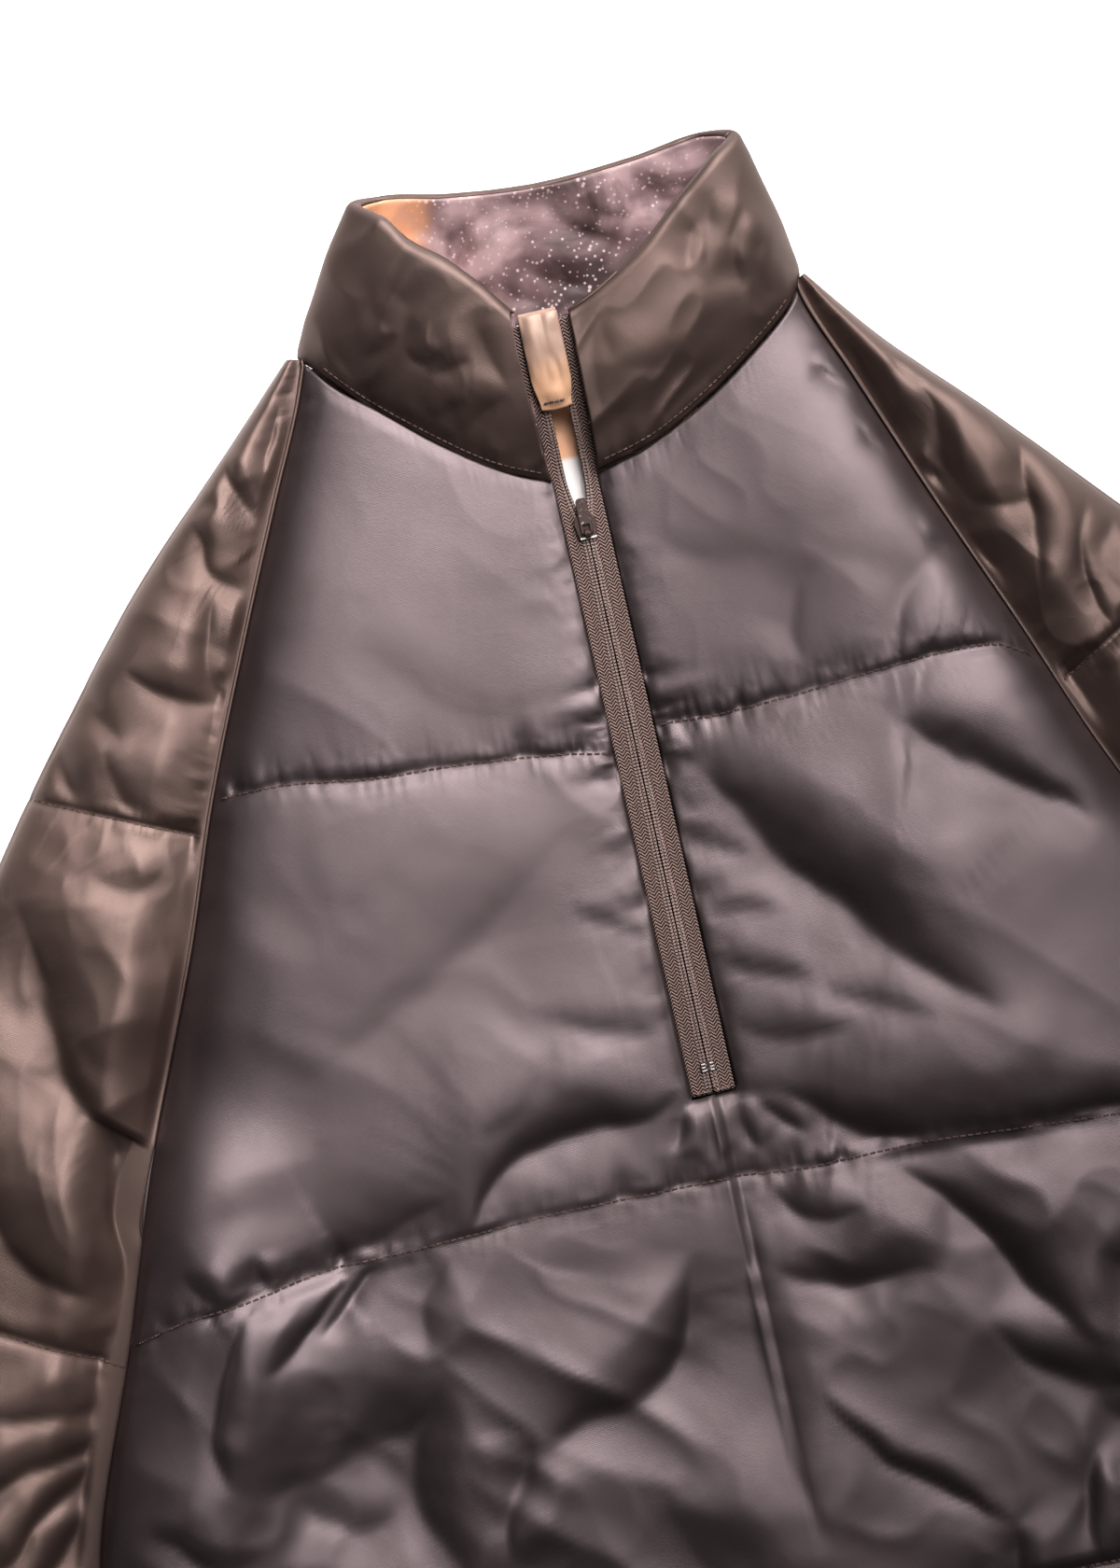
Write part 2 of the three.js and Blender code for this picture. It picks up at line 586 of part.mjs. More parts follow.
function sliderOutline() {
  const y = -ZIP.sliderDrop;
  const outline = new THREE.Shape();
  outline.moveTo(-SLIDER.tailHalf, y - SLIDER.below);
  outline.lineTo(SLIDER.tailHalf, y - SLIDER.below);
  outline.lineTo(SLIDER.mouthHalf, y + 1);
  outline.quadraticCurveTo(SLIDER.mouthHalf, y + SLIDER.above, 0, y + SLIDER.above);
  outline.quadraticCurveTo(-SLIDER.mouthHalf, y + SLIDER.above, -SLIDER.mouthHalf, y + 1);
  return outline;
}

const tapeTopAtSlider = tapeTop(ZIP.sliderDrop);
const plateBase = tapeTopAtSlider + SLIDER.clear;
const plateTop = plateBase + SLIDER.plateThick;
const pivotY = -ZIP.sliderDrop - 3.6; // the pull turns about a bar near the slider's tail
const pivotZ = plateTop + SLIDER.crownBore;

// Two plates either side of the tapes, the post between the parted rows, and the arched crown.
function slider() {
  const lowerTop = tapeTopAtSlider - ZIP.tapeThick - SLIDER.clear;
  const upper = solidOf(plate(sliderOutline(), SLIDER.plateThick, plateBase));
  const lower = solidOf(plate(sliderOutline(), SLIDER.plateThick, lowerTop - SLIDER.plateThick));
  const postY = -ZIP.sliderDrop + SLIDER.above - 1.6;
  const post = solidOf(
    block(
      SLIDER.postHalf * 2,
      1.6,
      plateTop - lowerTop + SLIDER.plateThick,
      0,
      postY,
      (plateTop + lowerTop - SLIDER.plateThick) / 2,
    ),
  );
  const arch = new THREE.Shape();
  const rim = SLIDER.crownBore + SLIDER.crownWall;
  arch.moveTo(-rim, -SLIDER.crownBore - 0.4);
  arch.lineTo(rim, -SLIDER.crownBore - 0.4);
  arch.lineTo(rim, 0);
  arch.absarc(0, 0, rim, 0, Math.PI, false);
  const bore = new THREE.Path();
  bore.absarc(0, 0, SLIDER.crownBore, 0, Math.PI * 2, true);
  arch.holes.push(bore);
  const crown = new THREE.ExtrudeGeometry(arch, {
    depth: SLIDER.crownHalf * 2,
    bevelEnabled: false,
    curveSegments: 8,
  });
  crown.rotateX(Math.PI / 2).rotateZ(Math.PI / 2);
  crown.translate(-SLIDER.crownHalf, pivotY, pivotZ);
  return geometryOf(upper.add(lower).add(post).add(solidOf(crown)));
}

// A flat tab with a window whose end bar lies in the slider's crown.
function pull() {
  const start = -PULL.bar / 2;
  const outline = new THREE.Shape();
  outline.moveTo(-PULL.half, start);
  outline.lineTo(PULL.half, start);
  outline.lineTo(PULL.half, PULL.long - 1.5);
  outline.quadraticCurveTo(PULL.half, PULL.long, PULL.half - 1.5, PULL.long);
  outline.lineTo(-PULL.half + 1.5, PULL.long);
  outline.quadraticCurveTo(-PULL.half, PULL.long, -PULL.half, PULL.long - 1.5);
  const window = new THREE.Path();
  const from = start + PULL.bar;
  window.moveTo(-PULL.windowHalf, from);
  window.lineTo(-PULL.windowHalf, from + PULL.windowLong);
  window.lineTo(PULL.windowHalf, from + PULL.windowLong);
  window.lineTo(PULL.windowHalf, from);
  outline.holes.push(window);
  return plate(outline, PULL.thick, -PULL.thick / 2).translate(0, pivotY, pivotZ);
}

// The cloth tab that folds over the top end of the zip, so that the slider doesn't touch the chin.
const GARAGE = { left: -9.8, right: 7.5, lowDrop: -32, thick: 1.5, clear: 0.6 };

function zipGarage() {
  const outer = [];
  const inner = [];
  const over = (drop) => tapeTop(drop) + GARAGE.clear;
  const under = (drop) => tapeTop(drop) - ZIP.tapeThick - GARAGE.clear;
  const profile = [
    [GARAGE.lowDrop, over(GARAGE.lowDrop), 0, 1],
    [-45, over(-45), 0, 1],
    [-58, over(-58), 0, 1],
    [-69, over(-69), 0, 1],
    [-73, over(-72) - 0.6, 0.8, 0.6],
    [-74, under(-74) + 1.4, 1, 0],
    [-73, under(-72) + 0.2, 0.8, -0.6],
    [-69, under(-69), 0, -1],
    [-56, under(-56), 0, -1],
  ];
  profile.forEach(([drop, z, outY, outZ]) => {
    const lower = smooth(-45, GARAGE.lowDrop, drop) * (outZ > 0 ? 1 : 0);
    const xs = [GARAGE.left + 1.5 * lower, -2, GARAGE.right - 1.5 * lower];
    inner.push(xs.map((x) => at(x, drop, z)));
    outer.push(xs.map((x) => at(x, drop - outY * GARAGE.thick, z + outZ * GARAGE.thick)));
  });
  return wall(inner, outer, false, everyCell);
}

// The short metal stop across both rows near the lower end of the zip.
const bottomStop = () => block(6.4, 4.4, 0.9, 0, -272, tapeTop(272) + SEAM_GAP + 0.45);

// Colours as the eye sees them, from 0 to 255.
const paint = (red, green, blue, roughness, metalness = 0) =>
  new THREE.MeshStandardMaterial({
    color: new THREE.Color(red / 255, green / 255, blue / 255).convertSRGBToLinear(),
    roughness,
    metalness,
  });
const BODY_CLOTH = paint(104, 92, 94, 0.45);
const SLEEVE_CLOTH = paint(112, 95, 90, 0.45);
const FACING_CLOTH = paint(146, 122, 120, 0.4);
const PALE_CLOTH = paint(232, 224, 222, 0.5);
const PEACH_CLOTH = paint(205, 160, 132, 0.4);
const TAPE_CLOTH = paint(104, 86, 83, 0.8);
const BROWN_PAINT = paint(98, 76, 72, 0.35);
const BARE_METAL = paint(190, 190, 192, 0.25, 1);

const jacket = new THREE.Group();
const add = (name, geometry, material) => {
  const mesh = new THREE.Mesh(geometry, material);
  mesh.name = name;
  jacket.add(mesh);
};
add("front_panel", frontPanel(), BODY_CLOTH);
add("back_panel", backPanel(), BODY_CLOTH);
add("back_neck_lining", backLining(), PALE_CLOTH);
add("sleeve_left", sleeve(SLEEVE_LEFT), SLEEVE_CLOTH);
add("sleeve_right", sleeve(SLEEVE_RIGHT), SLEEVE_CLOTH);
add("collar_shell", collarShell(), SLEEVE_CLOTH);
add("collar_lining", collarLining(), FACING_CLOTH);
add("zip_tape_left", zipTape(-1), TAPE_CLOTH);
add("zip_tape_right", zipTape(1), TAPE_CLOTH);
add("zip_slider", slider(), BROWN_PAINT);
add("zip_pull", pull(), BROWN_PAINT);
add("zip_bottom_stop", bottomStop(), BARE_METAL);
add("zip_garage", zipGarage(), PEACH_CLOTH);
jacket.position.y = ORIGIN_DROP;

export default jacket;
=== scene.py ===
import math

import bmesh
import bpy
import numpy as np
from mathutils import Matrix, Vector
from mathutils.bvhtree import BVHTree


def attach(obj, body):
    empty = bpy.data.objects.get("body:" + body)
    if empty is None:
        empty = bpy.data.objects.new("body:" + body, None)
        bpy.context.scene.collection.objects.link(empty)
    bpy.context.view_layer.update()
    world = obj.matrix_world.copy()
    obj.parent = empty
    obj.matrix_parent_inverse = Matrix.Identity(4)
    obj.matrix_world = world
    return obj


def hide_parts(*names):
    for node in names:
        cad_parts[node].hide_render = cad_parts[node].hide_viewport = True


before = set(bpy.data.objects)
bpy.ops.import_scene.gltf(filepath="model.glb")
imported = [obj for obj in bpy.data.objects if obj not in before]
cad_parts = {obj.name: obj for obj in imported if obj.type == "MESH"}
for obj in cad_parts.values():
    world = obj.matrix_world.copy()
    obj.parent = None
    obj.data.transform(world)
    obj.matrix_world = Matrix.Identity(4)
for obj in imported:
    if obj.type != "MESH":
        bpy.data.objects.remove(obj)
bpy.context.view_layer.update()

# The photograph's view. The jacket is looked at from straight above and turned a little. One
# pixel of the photograph is 0.42 mm on the cloth, so the frame covers 504 by 706 mm.
camera_data = bpy.data.cameras.new("view")
camera_data.lens = 85
camera_data.sensor_width = 36
camera = bpy.data.objects.new("view", camera_data)
camera.location = (-0.037, 0.127, 0.027 + 0.7056 / 36 * 85)
camera.rotation_euler = (0, 0, math.radians(-12.7))
bpy.context.collection.objects.link(camera)
bpy.context.scene.camera = camera


# Front panel. One padded piece of brown taffeta, sewn to the sleeves along slanting raglan seams
# and quilted straight through along level lines. The zip lies in a slot that ends above the
# second line. All lengths here are millimetres: x from the zip, drop down from the neck seam.
ORIGIN_DROP = 260.0  # of the frame's origin
SLOT_HALF = 10.2
SLOT_END = 285.0
SHELL = 2.0  # thickness of the cloth shell that stands for the padded wall
EDGE_TOP = 17.0  # top of the cloth along the raglan seam
EDGE_HEIGHT = 8.8  # and along the sides below it
CROWN = 27.0  # top of the padding in the middle
PUFF = 6.0  # swell of the padding between two lines of stitching
TUCK_LIFT = 16.0  # how far the tucked sleeve raises the body's left side
BODY_EDGE = (  # drop, left and right half width
    (-77, 108, 116),
    (-57, 116, 118),
    (-20, 134, 132),
    (44, 164, 156),
    (107, 192, 181),
    (170, 216, 205),
    (248, 250, 241),
    (337, 282, 280),
    (431, 317, 314),
    (528, 328, 326),
    (630, 314, 314),
)
NECK_LINE = ((-108, -77), (-97, -63), (-82, -50), (-57, -28), (-31, -9.5), (-10, -0.6), (10, -0.6),
             (37, -7), (67, -21.5), (96, -41), (112, -54), (118, -62))
CHEST_LINE = ((-192, 106), (-160, 106), (-119, 112), (-76, 115), (-34, 120), (-9, 124), (9, 117),
              (35, 118), (74, 117), (118, 114), (148, 113), (169, 115), (187, 125))
WAIST_LINE = ((-282, 338), (-254, 331), (-223, 328), (-188, 323), (-158, 323), (-123, 322),
              (-80, 321), (-37, 322), (0, 323), (31, 326), (57, 326), (91, 326), (134, 329),
              (176, 332), (230, 335), (280, 338))
HIP_LINE = ((-328, 534), (-240, 530), (0, 528), (120, 528), (326, 532))
HEM_LINE = ((-314, 622), (-150, 628), (0, 630), (150, 628), (314, 622))
# Folds: the places (x, drop) that each one's shaded slope runs through, half the slope's width,
# its height, and how far the cloth takes to level out above the slope and below it.
FRONT_FOLDS = (
    # right of the zip, between the two lines
    (((22, 132), (45, 154), (68, 186), (88, 209), (106, 238), (138, 274)), 16.2, 14.8, 34.3, 21.1),
    (((113, 138), (125, 140), (157, 163), (176, 179), (198, 204)), 10.3, 10.1, 26.4, 23.8),
    (((10, 200), (28, 203), (52, 209)), 3.4, 2.2, 9, 6),
    (((10, 226), (30, 232), (58, 241)), 3.8, 2.4, 10, 7),
    (((10, 252), (36, 263), (74, 266)), 5, 3, 12, 12),
    (((58, 246), (78, 256), (104, 272)), 5, 2.4, 12, 12),
    (((10, 168), (26, 171), (44, 180)), 3, 1.8, 8, 8),
    # into the second line
    (((10, 283), (36, 292), (62, 307), (100, 317), (150, 321), (205, 328)),
     11.8, 13.3, 34.3, 15.8),
    (((-126, 322), (-113, 304), (-93, 290), (-60, 283), (-30, 283), (-10, 279)),
     8.1, 9.4, 29, 14.5),
    (((-238, 321), (-200, 313), (-160, 305), (-126, 299)), 13.2, 7, 34.3, 26.4),
    (((-252, 310), (-242, 320), (-230, 330)), 4.1, 4.4, 8.8, 8.8),
    (((-216, 310), (-213, 320), (-209, 331)), 3.5, 3.6, 7.7, 7.7),
    # left of the zip, soft
    (((-36, 146), (-72, 166), (-145, 206), (-182, 238)), 23.5, 4.9, 44.9, 39.6),
    (((-68, 244), (-92, 268), (-112, 282)), 13.2, 3.8, 26.4, 26.4),
    (((-112, 50), (-62, 80), (-24, 92)), 18, 1.8, 36, 30),
    (((-44, 188), (-24, 199), (-10, 209)), 3, 1.6, 8, 7),
    (((-76, 226), (-44, 241), (-12, 252)), 5, 2.2, 14, 12),
    (((-190, 150), (-206, 196), (-228, 240)), 13.2, 4.4, 26.4, 21.1),
    # above the first line, right side
    (((114, -26), (125, -19), (135, -10)), 3, 4.8, 5.5, 7.7),
    (((130, 7), (136, 12), (144, 18)), 3, 3.6, 5.5, 6.6),
    (((143, 60), (152, 61), (165, 64)), 4.2, 4.2, 6.6, 9.9),
    (((150, 68), (134, 90), (122, 112)), 8.8, 4, 15.8, 13.2),
    (((104, 60), (92, 84), (84, 106)), 11.8, 3.4, 21.1, 18.5),
    (((18, 24), (62, 40), (124, 36)), 18, 2.2, 34, 26),
    # under the zip's end
    (((-13, 288), (-15, 297), (-21, 308)), 3, 3.9, 5.5, 5.5),
    (((-4, 290), (-3, 300), (-6, 312)), 2.7, 3, 5.5, 5.5),
    (((8, 290), (12, 300), (14, 314)), 3, 3.6, 5.5, 5.5),
    (((18, 290), (26, 300), (36, 314)), 3.3, 3.9, 5.5, 5.5),
    # below the second line, right side
    (((72, 328), (95, 349), (117, 375), (133, 404), (147, 432)), 11.8, 15.6, 23.8, 13.2),
    (((97, 406), (118, 428), (150, 445), (186, 456)), 10.3, 11.7, 18.5, 29),
    (((8, 362), (35, 372), (60, 374), (84, 381)), 13.2, 10.9, 29, 11.9),
    (((0, 326), (3, 360), (0, 400), (2, 440), (10, 498)), 7.4, 7.2, 18.5, 18.5),
    (((14, 427), (28, 446), (42, 464), (68, 480), (92, 503)), 3.5, 6.2, 9.9, 9.9),
    (((133, 474), (128, 500), (121, 530)), 3.9, 6, 9.9, 9.9),
    (((136, 452), (150, 462), (172, 470)), 10.3, 6.2, 15.8, 18.5),
    (((150, 386), (168, 392), (196, 410)), 8.8, 7.8, 13.2, 15.8),
    (((18, 332), (34, 344), (58, 348)), 7.4, 5.3, 13.2, 10.6),
    (((190, 350), (214, 392), (250, 440)), 13.2, 10.9, 23.8, 21.1),
    (((150, 500), (200, 508), (262, 520)), 13.2, 9.4, 23.8, 23.8),
    (((88, 500), (92, 514), (90, 534)), 4.6, 6, 9.9, 9.9),
    # below the second line, left side
    (((-120, 426), (-94, 411), (-66, 402), (-49, 391), (-35, 373), (-27, 350)),
     9.6, 10.0, 26.4, 34.3),
    (((-148, 386), (-157, 410), (-156, 440), (-149, 480)), 13.2, 12.0, 15.8, 34.3),
    (((-243, 413), (-200, 398), (-165, 392), (-146, 385)), 16.2, 10.5, 42.2, 31.7),
    (((-112, 418), (-122, 440), (-135, 470)), 7.4, 8.6, 15.8, 13.2),
    (((-225, 333), (-236, 355), (-248, 385), (-247, 410)), 5.4, 7.5, 11, 15.4),
    (((-178, 327), (-200, 345), (-224, 364)), 4.2, 6, 7.7, 7.7),
    (((-162, 322), (-178, 335), (-196, 353)), 3.5, 4.4, 6.6, 6.6),
    (((-130, 330), (-142, 350), (-150, 372)), 7.4, 3.8, 13.2, 13.2),
    (((-290, 418), (-272, 424), (-260, 446)), 5.4, 6, 11, 13.2),
    (((-226, 416), (-200, 430), (-176, 436)), 11.8, 6.2, 21.1, 23.8),
    (((-262, 470), (-220, 480), (-170, 500)), 14.7, 9.4, 23.8, 23.8),
    (((-60, 460), (-40, 490), (-36, 524)), 14.7, 7, 23.8, 23.8),
    # towards the hem
    (((-280, 552), (-200, 566), (-90, 590)), 17.6, 7.8, 29, 26.4),
    (((-60, 545), (-20, 566), (40, 572)), 17.6, 7, 29, 26.4),
    (((80, 560), (150, 576), (270, 586)), 17.6, 7.8, 29, 26.4),
)


def smooth(start, end, at):
    """0 at start, 1 at end, smooth between."""
    t = np.clip((np.asarray(at, float) - start) / (end - start), 0.0, 1.0)
    return t * t * (3.0 - 2.0 * t)


def mix(low, high, share):
    return low + (high - low) * share


def curve(keys, values, at):
    """Values on a smooth curve through the keys."""
    keys, values = np.asarray(keys, float), np.asarray(values, float)
    slopes = np.empty_like(values)
    slopes[1:-1] = (values[2:] - values[:-2]) / (keys[2:] - keys[:-2])
    slopes[0] = (values[1] - values[0]) / (keys[1] - keys[0])
    slopes[-1] = (values[-1] - values[-2]) / (keys[-1] - keys[-2])
    at = np.clip(at, keys[0], keys[-1])
    i = np.clip(np.searchsorted(keys, at, side="right") - 1, 0, len(keys) - 2)
    span = keys[i + 1] - keys[i]
    t = (at - keys[i]) / span
    return (
        (2 * t**3 - 3 * t**2 + 1) * values[i]
        + (t**3 - 2 * t**2 + t) * span * slopes[i]
        + (3 * t**2 - 2 * t**3) * values[i + 1]
        + (t**3 - t**2) * span * slopes[i + 1]
    )


def column(table, key, value, at):
    """The value column of a table, read off at places in its key column."""
    return curve([row[key] for row in table], [row[value] for row in table], at)


def patches(u, v, seed):
    """Smooth random hills between -1 and 1, one unit apart."""
    field = np.random.default_rng(seed).uniform(-1, 1, (97, 97))
    iu, iv = np.floor(u).astype(int), np.floor(v).astype(int)
    fu, fv = u - iu, v - iv
    fu, fv = fu * fu * (3 - 2 * fu), fv * fv * (3 - 2 * fv)
    low = mix(field[iu % 97, iv % 97], field[(iu + 1) % 97, iv % 97], fu)
    high = mix(field[iu % 97, (iv + 1) % 97], field[(iu + 1) % 97, (iv + 1) % 97], fu)
    return mix(low, high, fv)


def relief(folds, x, drop):
    """Height of a table of folds: each a crease, with the cloth rising on one side of it."""
    x = x + 3.0 * patches(x / 31, drop / 31, 11) + 1.0 * patches(x / 10, drop / 10, 12)
    drop = drop + 3.0 * patches(x / 31, drop / 31, 13) + 1.0 * patches(x / 10, drop / 10, 14)
    uneven = mix(0.72, 1.12, 0.5 + 0.5 * patches(x / 24, drop / 24, 15))
    total = np.zeros_like(x)
    for places, width, height, above, below in folds:
        places = np.asarray(places, float)
        run = np.concatenate([[0], np.cumsum(np.hypot(*(places[1:] - places[:-1]).T))])
        steps = np.linspace(0, run[-1], 25)
        line = np.stack([curve(run, places[:, 0], steps), curve(run, places[:, 1], steps)], 1)
        heading = np.gradient(line, axis=0)
        heading /= np.hypot(*heading.T)[:, None]
        margin = 2 * width + 2.2 * max(above, below)
        low, high = line.min(0) - margin, line.max(0) + margin
        near = np.nonzero((x > low[0]) & (x < high[0]) & (drop > low[1]) & (drop < high[1]))[0]
        if not len(near):
            continue
        gap_x, gap_drop = x[near, None] - line[:, 0], drop[near, None] - line[:, 1]
        pick = (gap_x**2 + gap_drop**2).argmin(1)
        rows = np.arange(len(near))
        gap_x, gap_drop = gap_x[rows, pick], gap_drop[rows, pick]
        chord = places[-1] - places[0]
        facing = 1.0 if chord[0] + chord[1] > 0 else -1.0
        off = facing * (gap_x * heading[pick, 1] - gap_drop * heading[pick, 0])
        along = (steps[pick] + gap_x * heading[pick, 0] + gap_drop * heading[pick, 1]) / run[-1]
        taper = smooth(0, 0.42, along) * smooth(1, 0.6, along)
        half = width * mix(0.35, 1.0, taper)
        q = (off + 0.7 * half) / half
        rise = 1 - np.exp(-0.5 * (q + np.sqrt(q * q + 0.03))) - 0.5
        fade = np.exp(-((np.maximum(0, off - 1.6 * half) / above) ** 1.4))
        fade *= np.exp(-((np.maximum(0, -off - 0.7 * half) / below) ** 1.4))
        total[near] += height * taper**0.7 * uneven[near] * rise * fade
    return total


def crumple(x, drop, size, seed):
    """A net of soft ridges, as in cloth that was crumpled and then smoothed out."""
    u = x / size + 0.5 * patches(x / size / 1.7, drop / size / 1.7, seed)
    v = drop / size + 0.5 * patches(x / size / 1.7, drop / size / 1.7, seed + 1)
    return 0.8 - 2 * np.abs(patches(u, v, seed + 2)) ** 0.9


def puckers(along, away, height, reach, seed):
    """Little gathers that run away from a line of stitching: sharp notches between soft swells."""
    broad = patches(along / 8.5, away / 30 + 3, seed + 1)
    notch = np.exp(-((patches(along / 5.6, away / 26 + 7, seed) / 0.2) ** 2))
    notch += 0.6 * np.exp(-((patches(along / 3.3, away / 18 + 9, seed + 3) / 0.22) ** 2))
    lot = mix(0.2, 1.0, smooth(-0.6, 0.5, patches(along / 38, 0 * away + 0.5, seed + 2)))
    rise = 1 - np.exp(-away / 1.2)
    fade = 0.6 * broad * np.exp(-away / reach) - 0.62 * notch * np.exp(-away / (0.5 * reach))
    return height * lot * rise * fade


LINES = (NECK_LINE, CHEST_LINE, WAIST_LINE, HIP_LINE, HEM_LINE)


def body_edge(side, drop):
    """The body's half width on a side."""
    return np.where(side < 0, column(BODY_EDGE, 0, 1, drop), column(BODY_EDGE, 0, 2, drop))


def body_place(across, row, lines, slot):
    """x, drop and the distances to the lines above and below, at a place in the body's rows."""
    side = np.where(across < 0, -1.0, 1.0)
    band = np.clip(np.floor(row).astype(int), 0, 3)
    share = row - band
    drops, ends = [], []
    for line in lines:
        xs, ds = [p[0] for p in line], [p[1] for p in line]
        end = np.where(side < 0, ds[0], ds[-1])
        half = body_edge(side, end)
        ends.append(end)
        drops.append(curve(xs, ds, side * mix(slot, half, np.abs(across))))
    drops, ends, pick = np.stack(drops), np.stack(ends), np.arange(len(across))
    above, below = drops[band, pick], drops[band + 1, pick]
    end_drop = mix(ends[band, pick], ends[band + 1, pick], share)
    x = side * mix(slot, body_edge(side, end_drop), np.abs(across))
    drop = mix(above, below, share)
    return x, drop, drop - above, below - drop, band


TUCKED_FOLD = (  # drop and x of the hidden fold of the sleeve that lies under the body's left side
    (272, -260.6), (290, -267.2), (312, -263), (332, -262), (358, -268), (408, -288), (455, -311),
    (508, -343), (560, -377),
)


def lift(x, drop):
    fold = column(TUCKED_FOLD, 0, 1, drop)
    return TUCK_LIFT * smooth(215, 288, drop) * smooth(84, 20, x - fold)


def crown(drop):
    return CROWN - 3 * smooth(40, -40, drop) - 7 * smooth(520, 630, drop)


def edge_top(drop):
    return mix(EDGE_TOP, EDGE_HEIGHT, smooth(175, 250, drop))


def front_surface(across, row, slot):
    x, drop, from_above, to_below, band = body_place(across, row, LINES, slot)
    side_gap = np.abs(body_edge(np.sign(x), drop) - np.abs(x))
    slot_gap = np.hypot(np.maximum(np.abs(x) - SLOT_HALF, 0), np.maximum(drop - SLOT_END, 0))
    line_gap = np.minimum(from_above, to_below)
    # level across, falling to the sides, and curled down where it lies over the tucked sleeve
    fall = np.clip(1 - np.abs(across) ** 7, 0, 1) ** 0.72
    curl = 4.0 * smooth(255, 300, drop) * smooth(7, 0, side_gap)
    base = lift(x, drop) + edge_top(drop) - curl
    # the padding, drawn in above and under each line of stitching and beside the zip
    over = 1.2 * np.exp(-to_below / 2.2) + 2.6 * np.exp(-to_below / 22)
    under = 0.5 * np.exp(-from_above / 4) + 3.3 * np.exp(-from_above / 40)
    puff = PUFF - over - under * np.where(band < 1, 0.5, 1)
    puff -= 2.6 * np.exp(-slot_gap / 4)
    broad = smooth(-10, 150, np.abs(x)) - 0.6
    puff += np.where(x < 0, 6, 15) * broad * smooth(-90, 30, drop) * smooth(520, 300, drop)
    z = base + (crown(drop) - edge_top(drop)) * fall + puff * (1 - np.exp(-side_gap / 11))
    # folds and crumpling, calmer beside the stitching and stronger below the second line
    calm = smooth(0, 8, line_gap + 1) * smooth(0, 14, side_gap) * smooth(0, 7, slot_gap + 1)
    z += relief(FRONT_FOLDS, x, drop) * mix(0.3, 1.0, calm)
    lower = smooth(322, 370, drop)
    turned, across_it = 0.78 * x + 0.62 * drop, 0.78 * drop - 0.62 * x
    uneven = 0.8 * patches(x / 52, drop / 58, 21)
    uneven += mix(0.6, 1.7, lower) * crumple(turned / 1.8, across_it, 52, 23)
    uneven += mix(0.15, 0.6, lower) * crumple(turned / 1.5, across_it, 21, 26)
    z += uneven * calm
    # gathers: above the lines, under them, beside the zip and along the sides
    z += puckers(x, to_below, 3.0, 10, 31) * np.where(band < 3, 1, 0.5)
    z += puckers(x + 300, from_above, 2.0, 10, 41) * np.where(band > 0, 1, 0.3)
    z += puckers(drop, slot_gap, 3.4, 12, 58) * smooth(310, 290, drop)
    z += puckers(drop + 90, side_gap, 1.5, 9, 61) * smooth(0, 3, side_gap)
    return x, drop, z


def spread(bm, place):
    """Puts a grid's points where place() says, from its two shares between 0 and 1."""
    shares = np.array([v.co[:2] for v in bm.verts]) * 0.5 + 0.5
    x, drop, z = place(shares[:, 0], shares[:, 1])
    for vert, px, pd, pz in zip(bm.verts, x, drop, z):
        vert.co = (px / 1000, (ORIGIN_DROP - pd) / 1000, pz / 1000)


def cloth_grid(columns, rows, place, inside_out=False):
    """A grid of cloth laid by place(), with its faces upwards unless it is inside out."""
    bm = bmesh.new()
    bmesh.ops.create_grid(bm, x_segments=columns, y_segments=rows, size=1)
    spread(bm, place)
    if inside_out:
        bmesh.ops.reverse_faces(bm, faces=bm.faces)
    return bm


def new_piece(name, bm, material, node, body="jacket", smooth_faces=True):
    """A piece from a mesh under work, riding on a body and standing for a node, if it has one."""
    mesh = bpy.data.meshes.new(name)
    bm.to_mesh(mesh)
    bm.free()
    if smooth_faces:
        mesh.shade_smooth()
    piece = bpy.data.objects.new(name, mesh)
    bpy.context.collection.objects.link(piece)
    mesh.materials.append(material)
    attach(piece, body)
    if node:
        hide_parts(*node)
    return piece


def thicken(piece, thickness):
    """Gives a sheet its thickness, inwards from the face that shows."""
    wall = piece.modifiers.new("wall", "SOLIDIFY")
    wall.thickness = thickness / 1000
    wall.offset = -1
    wall.use_rim = True
    bpy.context.view_layer.objects.active = piece
    with bpy.context.temp_override(object=piece, active_object=piece):
        bpy.ops.object.modifier_apply(modifier="wall")


BAND_SHARES = (0, 0.27, 0.57, 0.89, 1)  # of the body's rows, down to each line
GATHER = 0.4


def quilted_rows(v):
    """Row numbers that lie closer together beside each line of stitching."""
    row = curve(BAND_SHARES, range(5), 1 - v)
    whole = np.minimum(np.floor(row), 3)
    share = row - whole
    return whole + share - GATHER * np.sin(2 * math.pi * share) / (2 * math.pi)


FRONT_COLUMNS = 303
FRONT_ROWS = 250
SLOT_COLUMNS = 9


def front_place(u, v):
    """The front's grid: two wings with a few columns between them, which the slot takes out."""
    column_at = np.rint(u * FRONT_COLUMNS)
    wing = (FRONT_COLUMNS - SLOT_COLUMNS) / 2
    past = column_at - wing - SLOT_COLUMNS
    across = np.where(column_at <= wing, column_at / wing - 1, np.maximum(past, 0) / wing)
    middle = mix(-SLOT_HALF, SLOT_HALF, np.clip((column_at - wing) / SLOT_COLUMNS, 0, 1))
    across = np.where(across == 0, np.where(middle < 0, -1e-9, 1e-9), across)
    return front_surface(across, quilted_rows(v), np.abs(middle))


